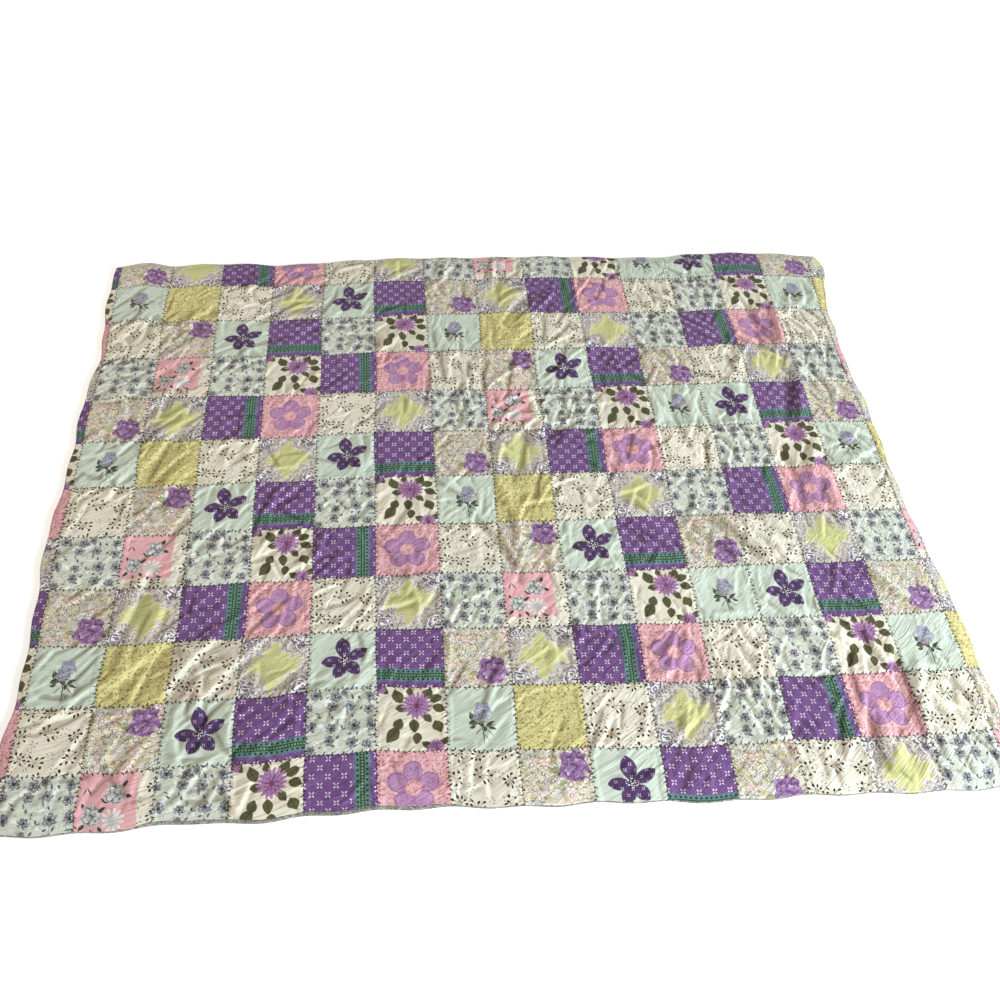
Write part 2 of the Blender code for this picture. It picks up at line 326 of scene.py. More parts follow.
def spareLengths(goal, step):
    # the two ends of each thread between grid neighbours, with its rest length
    (across, along), (di, dj) = goal.shape[:2], step
    first = (slice(max(0, -di), across - max(0, di)), slice(max(0, -dj), along - max(0, dj)))
    second = (slice(max(0, di), across + min(0, di)), slice(max(0, dj), along + min(0, dj)))
    thread = goal[second] - goal[first]
    length = np.sqrt((thread * thread).sum(-1))
    wander = softNoise(0.13, 12) + 0.6 * softNoise(0.06, 13)
    turned = (creaseAngle(gridS) + math.radians(26) * wander)[first]
    crossing = (thread[..., 0] * np.sin(turned) - thread[..., 1] * np.cos(turned)) / length
    uneven = np.clip(0.8 + 0.8 * softNoise(0.11, 14), 0.1, 2)[first]
    spare = uneven * (slack["evenGrowth"] + slack["growth"] * crossing**2)
    return first, second, (length * (1 + spare)).astype(np.float32)


def threadsOf(goal):
    # every second thread goes in one set, so that no point is moved twice at once
    sets = []
    for step, stiffness in (((1, 0), 1), ((0, 1), 1), ((1, 1), slack["shear"]), ((1, -1), slack["shear"])):
        first, second, length = spareLengths(goal, step)
        axis = 0 if step[0] else 1
        for start in (0, 1):
            pick = [slice(None), slice(None)]
            pick[axis] = slice(start, None, 2)
            ends = []
            for end in (first, second):
                moved = list(end)
                moved[axis] = slice(end[axis].start + start, end[axis].stop, 2)
                ends.append(tuple(moved))
            sets.append((*ends, length[tuple(pick)], stiffness))
    return sets


def pullThreads(cloth, threads):
    # moves both ends of each thread until it has its own length
    for first, second, length, stiffness in threads:
        thread = cloth[second] - cloth[first]
        now = np.sqrt((thread * thread).sum(-1))
        pull = thread * (stiffness * 0.5 * (1 - length / now))[..., None]
        cloth[first] += pull
        cloth[second] -= pull


def unbend(cloth, goal):
    # evens out how the cloth lies off its goal, along the columns and then along the rows
    for sheet, aim in ((cloth, goal), (cloth.swapaxes(0, 1), goal.swapaxes(0, 1))):
        off = sheet - aim
        bowed = slack["bending"] * (off[:-2] - 2 * off[1:-1] + off[2:])
        sheet[1:-1] += bowed
        sheet[:-2] -= 0.5 * bowed
        sheet[2:] -= 0.5 * bowed


def settleCloth(goal):
    # lets the slack cloth buckle on its filling until its threads have their own lengths again
    goal = goal.astype(np.float32)
    cloth = goal.copy()
    draw = np.random.default_rng(slack["seed"] + 1)
    cloth[..., 2] += draw.normal(0, slack["noise"], goal.shape[:2]).astype(np.float32)
    near = np.exp(-((seamDistance() / slack["seamWidth"]) ** 2))
    held = slack["heldBy"] * np.exp(softNoise(0.12, 15)) + slack["heldAtSeams"] * near
    held = np.where(rimDistance() < 0.002, 1, held)[..., None].astype(np.float32)
    threads = threadsOf(goal)
    for _ in range(slack["steps"]):
        pullThreads(cloth, threads)
        unbend(cloth, goal)
        cloth += held * (goal - cloth)
    return cloth


def blurred(values, radius):
    # a box blur run twice, by running sums along each side
    for axis in (0, 1, 0, 1):
        before = np.take(values, [0], axis).repeat(radius + 1, axis)
        after = np.take(values, [-1], axis).repeat(radius, axis)
        sums = np.cumsum(np.concatenate([before, values, after], axis), axis)
        count = values.shape[axis]
        ahead = np.take(sums, np.arange(2 * radius + 1, 2 * radius + 1 + count), axis)
        behind = np.take(sums, np.arange(count), axis)
        values = (ahead - behind) / (2 * radius + 1)
    return values


def shapeCloth():
    surface = np.stack([planX, planY, easedToRim(fillingHeight())], axis=2)
    return settleCloth(surface).astype(float)


cloth = shapeCloth()
lowest, highest = cloth[..., 2].min(), cloth[..., 2].max()
print(f"cloth settled after {time.time() - startTime:.0f} s, {lowest:.4f} to {highest:.4f} m high")


# Printed colours, as they look in plain daylight
inks = {
    "mint": (214, 227, 214),
    "mintDeep": (180, 202, 188),
    "mintGrey": (222, 229, 217),
    "cream": (240, 236, 221),
    "creamShade": (224, 210, 176),
    "crossGround": (220, 214, 202),
    "lime": (226, 218, 154),
    "limeDeep": (196, 186, 114),
    "limeBrown": (150, 118, 76),
    "limeShade": (150, 144, 84),
    "limePale": (216, 220, 158),
    "limeBright": (234, 230, 176),
    "crossPale": (234, 232, 214),
    "purple": (123, 86, 145),
    "purpleDeep": (94, 60, 116),
    "purplePale": (146, 116, 174),
    "purpleDot": (244, 238, 246),
    "teal": (106, 142, 136),
    "tealBlue": (106, 112, 150),
    "bandGreen": (50, 90, 70),
    "bandDot": (152, 182, 132),
    "bandDark": (40, 50, 72),
    "pink": (240, 190, 196),
    "pinkDeep": (182, 96, 116),
    "pinkPale": (244, 210, 214),
    "pinkShade": (228, 156, 168),
    "pinkDusty": (240, 186, 192),
    "mauve": (188, 142, 190),
    "mauvePale": (208, 170, 210),
    "mauveDeep": (140, 92, 150),
    "coral": (216, 112, 120),
    "violet": (88, 62, 110),
    "violetDeep": (66, 44, 84),
    "lavender": (178, 182, 202),
    "lavenderPale": (222, 226, 236),
    "lavenderMid": (166, 160, 176),
    "lavenderGrey": (166, 158, 170),
    "lavenderDark": (92, 88, 108),
    "rose": (164, 126, 176),
    "rosePale": (212, 184, 218),
    "roseDark": (84, 52, 98),
    "magenta": (122, 70, 122),
    "magentaPale": (186, 138, 188),
    "magentaDark": (78, 42, 80),
    "leaf": (96, 94, 64),
    "leafDark": (64, 66, 42),
    "leafGreen": (50, 62, 52),
    "sprig": (48, 46, 42),
    "bud": (150, 152, 156),
    "budDark": (98, 100, 106),
    "budDeep": (68, 70, 78),
    "budPale": (220, 224, 228),
    "sage": (150, 158, 128),
    "sageDark": (124, 128, 100),
    "sageGrey": (158, 168, 156),
    "tealSprig": (110, 152, 142),
    "greyLine": (138, 136, 136),
    "tanLine": (172, 148, 120),
    "yellowLine": (206, 194, 120),
    "paisleyGrey": (120, 118, 110),
    "paisleyOlive": (170, 152, 84),
    "paisleyPink": (198, 124, 130),
    "greyRose": (206, 210, 212),
    "white": (248, 246, 240),
    "stitch": (42, 40, 36),
    "backing": (150, 148, 138),
    "backingDark": (104, 102, 96),
    "backingPale": (182, 180, 170),
}


def ink(name):
    # from 0 to 255 as printed to the linear values that the shader takes
    values = np.array(inks[name]) / 255
    linear = np.where(values <= 0.04045, values / 12.92, ((values + 0.055) / 1.055) ** 2.4)
    return (*linear.tolist(), 1.0)


class Wire:
    # an output socket to do sums with. Numbers go through Math nodes, vectors through Vector Math

    def __init__(self, socket):
        self.socket = socket
        self.tree = socket.id_data

    def __add__(self, other):
        return maths("ADD", self, other)

    def __sub__(self, other):
        return maths("SUBTRACT", self, other)

    def __rsub__(self, other):
        return maths("SUBTRACT", other, self)

    def __mul__(self, other):
        return maths("MULTIPLY", self, other)

    def __truediv__(self, other):
        return maths("DIVIDE", self, other)

    def __rtruediv__(self, other):
        return maths("DIVIDE", other, self)

    def __mod__(self, other):
        return maths("FLOORED_MODULO", self, other)

    def __pow__(self, other):
        return maths("POWER", self, other)

    def __abs__(self):
        return maths("ABSOLUTE", self)

    def __lt__(self, other):
        return maths("LESS_THAN", self, other)


def feed(socket, value):
    # links a wire to the socket, or writes a plain value on it
    if isinstance(value, Wire):
        value.tree.links.new(value.socket, socket)
    else:
        socket.default_value = value


def treeOf(*values):
    return next(value.tree for value in values if isinstance(value, Wire))


def addNode(tree, kind, inputs, **settings):
    made = tree.nodes.new("ShaderNode" + kind)
    for name, value in settings.items():
        setattr(made, name, value)
    for key, value in inputs.items():
        feed(made.inputs[key], value)
    return [Wire(socket) for socket in made.outputs]


def maths(operation, *values):
    isNumber = next(value for value in values if isinstance(value, Wire)).socket.type == "VALUE"
    kind = "Math" if isNumber else "VectorMath"
    made = addNode(treeOf(*values), kind, dict(enumerate(values)), operation=operation)
    return made[1 if operation in ("LENGTH", "DOT_PRODUCT") else 0]


def fraction(wire):
    return maths("FRACT" if wire.socket.type == "VALUE" else "FRACTION", wire)


def most(first, *others):
    for other in others:
        first = maths("MAXIMUM", first, other)
    return first


def softStep(value, low, high):
    inputs = {"Value": value, "From Min": low, "From Max": high}
    return addNode(value.tree, "MapRange", inputs, interpolation_type="SMOOTHSTEP")[0]


def paint(mask, under, over, blend="MIX"):
    inputs = {0: mask, 6: under, 7: over}
    return addNode(treeOf(mask, under, over), "Mix", inputs, data_type="RGBA", blend_type=blend)[2]


def parts(vector):
    return addNode(vector.tree, "SeparateXYZ", {0: vector})


def joined(x, y, z=0.0):
    return addNode(treeOf(x, y), "CombineXYZ", {0: x, 1: y, 2: z})[0]


def rotated(vector, angle):
    return addNode(vector.tree, "VectorRotate", {"Vector": vector, "Angle": angle}, rotation_type="Z_AXIS")[0]


def turnsTo(local):
    # the way from the middle to a point, in whole turns
    x, y, _ = parts(local)
    return maths("ARCTAN2", y, x) * (0.5 / math.pi)


def noise(place, scale, detail, distortion=0.0, output=0):
    inputs = {"Vector": place, "Scale": scale, "Detail": detail, "Distortion": distortion}
    return addNode(place.tree, "TexNoise", inputs)[output]


def ownNumber(place, dimensions):
    return addNode(place.tree, "TexWhiteNoise", {"Vector": place}, noise_dimensions=dimensions)[0]


def cellsOf(place, scale, spread):
    # uneven cells: two numbers of each cell's own, and the place as seen from its middle
    inputs = {"Vector": place, "Scale": scale, "Randomness": spread}
    cells = addNode(place.tree, "TexVoronoi", inputs, voronoi_dimensions="2D")
    random, second, _ = parts(cells[1])
    return random, second, place - cells[2]


def wobbled(place, scale, amount):
    shove = noise(place, scale, 1.0, output=1) - (0.5, 0.5, 0.5)
    return place + shove * (amount, amount, 0.0)


def nodeGroup(**outputs):
    # makes a shader node group of the function that follows, whose values become the group's inputs,
    # and gives back a function that uses the group. Sizes: 1 is a number, 3 a vector and 4 a colour
    kinds = {1: "NodeSocketFloat", 3: "NodeSocketVector", 4: "NodeSocketColor"}

    def build(draw):
        group = bpy.data.node_groups.new(draw.__name__, "ShaderNodeTree")
        starts = {name: value.default for name, value in inspect.signature(draw).parameters.items()}
        for name, start in starts.items():
            kind = kinds[np.size(start)]
            group.interface.new_socket(label(name), in_out="INPUT", socket_type=kind).default_value = start
        for name, size in outputs.items():
            group.interface.new_socket(label(name), in_out="OUTPUT", socket_type=kinds[size])
        given = group.nodes.new("NodeGroupInput").outputs
        result = group.nodes.new("NodeGroupOutput").inputs
        drawn = draw(*(Wire(given[label(name)]) for name in starts))
        for name, wire in zip(outputs, drawn):
            feed(result[label(name)], wire)

        def use(**values):
            inputs = {label(name): value for name, value in values.items()}
            made = addNode(treeOf(*values.values()), "Group", inputs, node_tree=group)
            return dict(zip(outputs, made))

        return use

    return build


def label(name):
    return name[0].upper() + name[1:]


origin = (0.0, 0.0, 0.0)
centre = (0.5, 0.5, 0.0)
fullTurn = 2 * math.pi
countFrom = 40.0  # added to rows and columns, so that their numbers stay above 0


@nodeGroup(mask=1, side=1)
def leafShape(vector=origin, place=centre, angle=0.0, length=0.1, width=0.05, bulge=0.85, full=0.75):
    # a pointed oval about a middle point. Bulge over 1 moves its widest part towards the tip
    x, y, _ = parts(rotated(vector - place, angle * -1.0))
    along = x / length + 0.5
    along.socket.node.use_clamp = True
    eased = along**bulge
    side = y / (width * 0.5)
    rise = eased * 4.0 * (1.0 - eased)
    return softStep(rise**full - abs(side), 0.0, 0.16), side


@nodeGroup(mask=1, reach=1, edge=1)
def petalFlower(vector=origin, place=centre, radius=0.1, petals=5.0, notch=0.4, turn=0.0):
    # petals round a middle: reach is 0 there and 1 at the tips,
    # edge is 0 down a petal's middle and 1 between two
    local = vector - place
    edge = abs(fraction((turnsTo(local) + turn) * petals) * 2.0 - 1.0)
    reach = maths("LENGTH", local) / radius
    limit = 1.0 - edge**2.4 * notch
    return softStep(limit - reach, 0.0, 0.08), reach, edge


@nodeGroup(mask=1, rim=1, reach=1)
def roundPetals(vector=origin, place=centre, petals=5.0, away=0.2, long=0.13, wide=0.1, turn=0.0):
    # separate oval petals round a middle. Rim is 1 along their outlines
    local = vector - place
    angle = (fraction((turnsTo(local) + turn) * petals) - 0.5) / petals * fullTurn
    reach = maths("LENGTH", local)
    along = (reach * maths("COSINE", angle) - away) / long
    side = reach * maths("SINE", angle) / wide
    oval = maths("LENGTH", joined(along, side))
    return softStep(oval, 1.0, 0.93), softStep(abs(oval - 0.92), 0.10, 0.03), reach


@nodeGroup(mask=1, fold=1, rim=1)
def roseBloom(vector=origin, place=centre, radius=0.15, petals=2.3):
    # petals laid over each other: fold is dark at the foot of each, rim pale along its lip
    unit = (vector - place) / joined(radius, radius, 1.0)
    warped = wobbled(unit, 1.6, 1.1)
    inputs = {"Vector": warped, "Scale": petals, "Randomness": 0.75}
    cell, border = (
        addNode(vector.tree, "TexVoronoi", inputs, voronoi_dimensions="2D", feature=feature)
        for feature in ("F1", "DISTANCE_TO_EDGE")
    )
    lip = maths("DOT_PRODUCT", warped - cell[2], maths("NORMALIZE", warped))
    limit = maths("SINE", turnsTo(unit) * (5 * fullTurn) + 0.7) * 0.07 + 0.95
    line = softStep(border[0], 0.065, 0.020)
    fold = most(line, softStep(lip, 0.02, -0.22) * 0.75)
    rim = softStep(lip, 0.06, 0.22) * (1.0 - line)
    return softStep(limit - maths("LENGTH", warped), 0.0, 0.06), fold, rim


@nodeGroup(mask=1)
def dotCross(vector=origin, pitch=0.226, rowPitch=0.12, spread=0.017, dot=0.012):
    # crosses of four dots, each row set off by half a pitch from the last
    x, y, _ = parts(vector)
    row = y / rowPitch + countFrom
    column = maths("FLOOR", row) % 2.0 * 0.5 + x / pitch + countFrom
    nearX = abs((fraction(column) - 0.5) * pitch)
    nearY = abs((fraction(row) - 0.5) * rowPitch)
    outward = (nearX + nearY) * math.sqrt(0.5)
    sideways = (nearX - nearY) * math.sqrt(0.5)
    along = (outward - spread * math.sqrt(2)) * 0.44
    return [softStep(dot - maths("LENGTH", joined(along, sideways)), 0.0, 0.005)]


def archMask(along, side):
    # a small leaf: 1 inside an arch over its length
    return softStep(along * 4.0 * (1.0 - along) - abs(side), 0.0, 0.25)


@nodeGroup(mask=1, random=1, local=3)
def scatteredMarks(vector=origin, scale=8.0, length=0.06, width=0.02, spread=0.8, share=0.8):
    # small leaves thrown about, each turned its own way
    random, kept, local = cellsOf(vector, scale, spread)
    local = rotated(local, random * fullTurn)
    x, y, _ = parts(local)
    return archMask(x / length + 0.5, y / (width * 0.5)) * (kept < share), random, local


@nodeGroup(mask=1, stem=1)
def leafSprigs(vector=origin, scale=2.8, spread=0.3, leaves=7.0, reach=0.1, length=0.055, width=0.030):
    # sprigs of small leaves on thin stems, spread round the middle of each cell
    random, second, local = cellsOf(vector, scale, spread)
    sector = (turnsTo(local) + random) * leaves
    leaf = maths("FLOOR", sector) % leaves
    own = ownNumber(joined(leaf, random * 50.0, second * 50.0), "3D")
    away = maths("LENGTH", local)
    side = away * (fraction(sector) + (own * 0.4 - 0.7)) * (fullTurn / leaves)
    far = reach * (own * 0.9 + 0.50)
    mask = archMask((away - far) / length + 0.5, side / (width * 0.5))
    return mask, softStep(abs(side), 0.009, 0.003) * (away < far)


@nodeGroup(mask=1, inside=1)
def outlineFlowers(vector=origin, scale=4.5, spread=0.8, radius=0.1, width=0.09, petals=6.0):
    # flowers drawn in outline only, one to a cell, each with its own size and turn
    random, second, local = cellsOf(vector, scale, spread)
    edge = abs(fraction((turnsTo(local) + random) * petals) * 2.0 - 1.0)
    reach = maths("LENGTH", local) / (radius * (second * 0.7 + 0.65))
    limit = 1.0 - edge**2.0 * 0.36
    thin = width * 0.4
    outer, inner, heart = (softStep(abs(reach - ring), width, thin) for ring in (limit, limit * 0.62, 0.24))
    inside = reach < limit
    return most(outer, inner * 0.7, heart, softStep(edge, 0.84, 0.96) * inside), inside


@nodeGroup(mask=1)
def lineWork(vector=origin, scale=6.0, lines=3.0, width=0.1, seed=0.0):
    # thin drawn lines that wander like the outlines in a floral print
    field = noise(vector + joined(seed, 0.0, seed), scale, 1.5)
    return [softStep(width - abs(fraction(field * lines) - 0.5), 0.0, 0.04)]


@nodeGroup(mask=1)
def seamStitches(across=0.0, along=0.0, pitch=0.066, length=0.05, width=0.012, lean=0.55):
    # printed feather stitches that lean left and right by turns across one seam line, each a little different
    line = across + 20.5
    off = fraction(line) - 0.5
    count = along / pitch + 400.0
    number = maths("FLOOR", count)
    own = ownNumber(joined(number, maths("FLOOR", line)), "2D")
    phase = (fraction(count) - (own * 0.36 + 0.32)) * pitch
    outward = off * (number % 2.0 * 2.0 - 1.0)
    aside = abs(phase - outward * (lean * (own * 1.5 + 0.3)))
    stroke = softStep(aside, width, width * 0.45)
    half = length * (own * 0.22 + 0.34)
    reach = softStep(abs(outward - length * 0.40), half, half * 0.6)
    thread = softStep(abs(off), 0.012, 0.004) * (abs(phase) < pitch * 0.30)
    return [most(stroke * reach, thread * 0.85)]


@nodeGroup(height=1, slub=1)
def cottonWeave(vector=origin, thread=0.0011):
    # threads over and under each other, with slubs
    x, y, _ = parts(vector)
    turns = fullTurn / thread
    slub = noise(vector, 240.0, 2.0)
    return maths("SINE", x * turns) * maths("SINE", y * turns) * 0.35 + slub, slub


@nodeGroup(height=1, fine=1)
def softCrinkle(vector=origin, angle=0.9, scale=42.0, fineScale=110.0, seam=0.0):
    # the crumple of washed cotton, drawn out along the creases: sharp crests over soft hollows
    turned = rotated(vector, angle)
    strength = most(softStep(noise(vector, 9.0, 1.0), 0.32, 0.60) * 0.75 + 0.25, seam)
    crests = []
    for size, stretch in ((scale, 0.42), (fineScale, 0.50)):
        field = noise(turned * (stretch, 1.0, 1.0), size, 2.0, 0.7)
        crests.append((1.0 - abs(field * 2.0 - 1.0) ** 0.7) * strength)
    return crests


# How washing shows in the cotton, with light and shade painted into it: shares of its lightness and of its
# roughness. The crinkle's crests are painted lighter and its hollows darker, the folds' crests get a painted
# highlight, and the folds' hollows get a painted warm shade
wear = {
    "fade": 0.14,
    "byPatch": 0.06,
    "fine": 0.10,
    "slub": 0.08,
    # painted light and shade over the crinkle: lighter crests, darker hollows
    "crumple": 0.10,
    # painted highlight on the folds' crests
    "crestHighlight": 0.10,
    "least": 0.71,
    # colour and share of the painted warm shade in the folds' hollows
    "creaseShadeColour": (0.40, 0.34, 0.26, 1.0),
    "creaseShadeShare": 0.62,
    "rough": 0.80,
    "roughFine": 0.12,
    "roughSlub": 0.06,
}


@nodeGroup(colour=4, roughness=1)
def washedWear(colour=(0.8, 0.8, 0.8, 1.0), place=origin, patch=origin, hollow=0.0, crumple=0.5, slub=0.5):
    # uneven fading from patch to patch, painted warm shade in the fold hollows, and painted highlights on the
    # fold crests and on the crinkle's crests
    fine = noise(place, 42.0, 3.0)
    light = noise(place, 3.2, 3.0) * wear["fade"] + ownNumber(patch, "3D") * wear["byPatch"]
    # fine tone and slubs are the cloth's own; the crumple term paints the crinkle's crests lighter and its
    # hollows darker, as painted light and shade
    light = light + fine * wear["fine"] + slub * wear["slub"] + crumple * wear["crumple"]
    # painted highlight on the folds' crests
    light = light + softStep(hollow, -0.15, -1.0) * wear["crestHighlight"] + wear["least"]
    lit = paint(1.0, colour, joined(light, light, light), "MULTIPLY")
    # painted warm shade in the folds' hollows
    soiled = paint(softStep(hollow, 0.05, 1.0) * wear["creaseShadeShare"], lit, wear["creaseShadeColour"], "MULTIPLY")
    return soiled, fine * wear["roughFine"] + slub * wear["roughSlub"] + wear["rough"]


print("node groups made:", len(bpy.data.node_groups))


def leafAt(spot, x, y, degrees, length, width, bulge=0.85, full=0.75):
    # degrees are counterclockwise as seen from above, and y runs towards the front
    place, angle = (x, y, 0.0), -math.radians(degrees)
    return leafShape(
        vector=spot, place=place, angle=angle, length=length, width=width, bulge=bulge, full=full
    )


def addLeaves(spot, colour, leaves, dark, light, vein=0.6):
    shapes = [leafAt(spot, *leaf, full=1.05) for leaf in leaves]
    ribs = [softStep(abs(shape["side"]), 0.24, 0.04) * shape["mask"] for shape in shapes]
    shade = softStep(noise(spot, 16.0, 1.0), 0.50, 0.64) * 0.45
    leafColour = paint(most(shade, most(*ribs) * vein), ink(dark), ink(light))
    return paint(most(*(shape["mask"] for shape in shapes)), colour, leafColour)


def addRose(spot, colour, x, y, radius, inkNames, petals):
    # the inks are the dark one of the folds, the main one and the pale one of the rims
    rose = roseBloom(vector=spot, place=(x, y, 0.0), radius=radius, petals=petals)
    dark, main, pale = (ink(name) for name in inkNames)
    petal = paint(rose["rim"], main, pale)
    return paint(rose["mask"], colour, paint(rose["fold"], petal, dark))


def addFlower(spot, colour, x, y, radius, petals, notch, turn, inkNames, gapFrom):
    # the inks are those of the middle, of the tips, and of the line between two petals
    inner, outer, line = (ink(name) for name in inkNames)
    flower = petalFlower(
        vector=spot, place=(x, y, 0.0), radius=radius, petals=float(petals), notch=notch, turn=turn
    )
    petal = paint(softStep(flower["reach"], 0.15, 0.95), inner, outer)
    petal = paint(softStep(flower["edge"], gapFrom, 0.98) * 0.8, petal, line)
    return paint(flower["mask"], colour, petal)


def addMarks(spot, colour, *kinds):
    # each kind: ink, scale, length, width and the share of cells that hold a mark
    for name, scale, length, width, share in kinds:
        marks = scatteredMarks(vector=spot, scale=scale, length=length, width=width, share=share, spread=0.8)
        colour = paint(marks["mask"], colour, ink(name))
    return colour


def addLines(spot, colour, name, scale, lines, width, seed, strength):
    drawn = lineWork(vector=spot, scale=scale, lines=lines, width=width, seed=seed)
    return paint(drawn["mask"] * strength, colour, ink(name))


def ground(spot, name, shade, scale=3.0, amount=0.5):
    return paint(softStep(noise(spot, scale, 3.0), 0.45, 0.75) * amount, ink(name), ink(shade))


def handDrawn(spot, amount=0.016, scale=9.0):
    # shifts the print a little here and there, as a hand would draw it
    return wobbled(spot, scale, amount)


def printMintRose(spot):
    colour = ground(spot, "mint", "mintDeep", amount=0.25)
    spot = handDrawn(spot, 0.04)
    stems = (
        (0.52, 0.74, -86, 0.40, 0.020), (0.60, 0.70, -44, 0.22, 0.014), (0.44, 0.70, -132, 0.16, 0.014),
        (0.63, 0.62, 12, 0.20, 0.012), (0.57, 0.80, -60, 0.14, 0.012),
    )
    colour = addLeaves(spot, colour, stems, "leafGreen", "sage", 0.4)
    leaves = (
        (0.365, 0.46, 112, 0.15, 0.085), (0.40, 0.56, 10, 0.19, 0.090), (0.37, 0.63, 200, 0.12, 0.055),
        (0.50, 0.58, -50, 0.15, 0.070), (0.63, 0.58, 30, 0.15, 0.060), (0.66, 0.66, -24, 0.12, 0.045),
        (0.55, 0.66, -96, 0.10, 0.050),
    )
    colour = addLeaves(spot, colour, leaves, "leafGreen", "sage", 0.5)
    colour = addRose(spot, colour, 0.49, 0.46, 0.115, ("lavenderDark", "lavenderGrey", "lavenderPale"), 3.0)
    return addRose(spot, colour, 0.53, 0.37, 0.135, ("lavenderDark", "lavender", "lavenderPale"), 3.2)


def printLime(spot):
    colour = ground(spot, "lime", "limeDeep", 5.0, 0.45)
    spot = handDrawn(spot)
    colour = addLines(spot, colour, "limeDeep", 7.0, 4.0, 0.07, 3.0, 0.5)
    return addMarks(
        spot, colour, ("limeBrown", 7.0, 0.060, 0.026, 0.30), ("limeShade", 10.0, 0.052, 0.024, 0.50),
        ("limeBrown", 15.0, 0.028, 0.018, 0.30), ("limeShade", 22.0, 0.024, 0.018, 0.60),
        ("limeBright", 13.0, 0.060, 0.034, 0.50),
    )


def addSprigs(spot, colour):
    spot = handDrawn(spot, 0.08, 5.0)
    small = leafSprigs(
        vector=spot + (4.1, 2.33, 0.0), scale=4.4, spread=0.9, leaves=5.0, reach=0.05,
        length=0.045, width=0.022,
    )
    sprigs = leafSprigs(
        vector=spot + (1.04, 0.70, 0.0), scale=2.86, spread=0.42, leaves=8.0, reach=0.082,
        length=0.056, width=0.038,
    )
    colour = paint(sprigs["stem"] * 0.7, colour, ink("tanLine"))
    colour = paint(small["mask"] * 0.75, colour, ink("sageDark"))
    return paint(sprigs["mask"], colour, ink("sprig"))


def printCreamSprig(spot):
    return addSprigs(spot, ground(spot, "cream", "creamShade", amount=0.3))


def stripes(run, count):
    # 0 in the middle of each of so many stripes, 0.5 between them
    return abs(fraction(run * count) - 0.5)


def printPurple(spot, side, run):
    colour = ground(spot, "purple", "purpleDeep", 4.0, 0.55)
    colour = addLines(spot, colour, "purplePale", 16.0, 6.0, 0.12, 7.0, 0.35)
    colour = addMarks(spot, colour, ("purpleDeep", 24.0, 0.026, 0.016, 0.6))
    crosses = dotCross(vector=spot, pitch=0.222, rowPitch=0.118, spread=0.0225, dot=0.0102)
    colour = paint(crosses["mask"], colour, ink("purpleDot"))
    fromBand = abs(side - 0.80)
    for outer, inner, name in (
        (0.124, 0.114, "tealBlue"), (0.100, 0.092, "teal"), (0.040, 0.032, "bandGreen"),
    ):
        colour = paint(softStep(fromBand, outer, inner), colour, ink(name))
    link = softStep(stripes(run, 24.0), 0.28, 0.16) * softStep(fromBand, 0.016, 0.009)
    colour = paint(link, colour, ink("bandDot"))
    dot = maths("LENGTH", joined(abs(fromBand - 0.066) * 14.0, stripes(run, 14.0)))
    return paint(softStep(dot, 0.30, 0.20), colour, ink("bandDark"))


def printPurpleUpright(spot):
    x, y, _ = parts(spot)
    return printPurple(spot, x, y)


def printPurpleLevel(spot):
    x, y, _ = parts(spot)
    return printPurple(spot, y, x)


def printPinkPetal(spot):
    colour = ground(spot, "pink", "pinkPale", 4.0, 0.7)
    colour = addLines(spot, colour, "pinkShade", 6.0, 5.0, 0.16, 1.0, 0.55)
    colour = addLines(spot, colour, "pinkDeep", 13.0, 5.0, 0.10, 4.0, 0.45)
    colour = addMarks(
        spot, colour, ("pinkDeep", 15.0, 0.034, 0.022, 0.65), ("pinkPale", 9.0, 0.075, 0.030, 0.45)
    )
    spot = handDrawn(spot, 0.03)
    flower = roundPetals(
        vector=spot, place=(0.5, 0.51, 0.0), petals=5.0, away=0.228, long=0.150, wide=0.140, turn=-0.05
    )
    petal = ground(spot, "mauve", "mauvePale", 5.0, 0.7)
    petal = addLines(spot, petal, "mauveDeep", 9.0, 5.0, 0.09, 9.0, 0.45)
    petal = addMarks(spot, petal, ("mauveDeep", 16.0, 0.030, 0.022, 0.5))
    colour = paint(flower["mask"] * 0.92, colour, petal)
    colour = paint(flower["rim"] * 0.55, colour, ink("mauveDeep"))
    colour = paint(softStep(flower["reach"], 0.120, 0.108), colour, ink("pinkShade"))
    disc = softStep(flower["reach"], 0.106, 0.096)
    colour = paint(disc, colour, ink("pink"))
    dots = scatteredMarks(vector=spot, scale=28.0, length=0.026, width=0.024, share=0.6, spread=0.7)
    return paint(dots["mask"] * disc, colour, ink("coral"))


def ovalReach(x, y, halfX, halfY):
    return maths("LENGTH", joined(x / halfX, y / halfY))


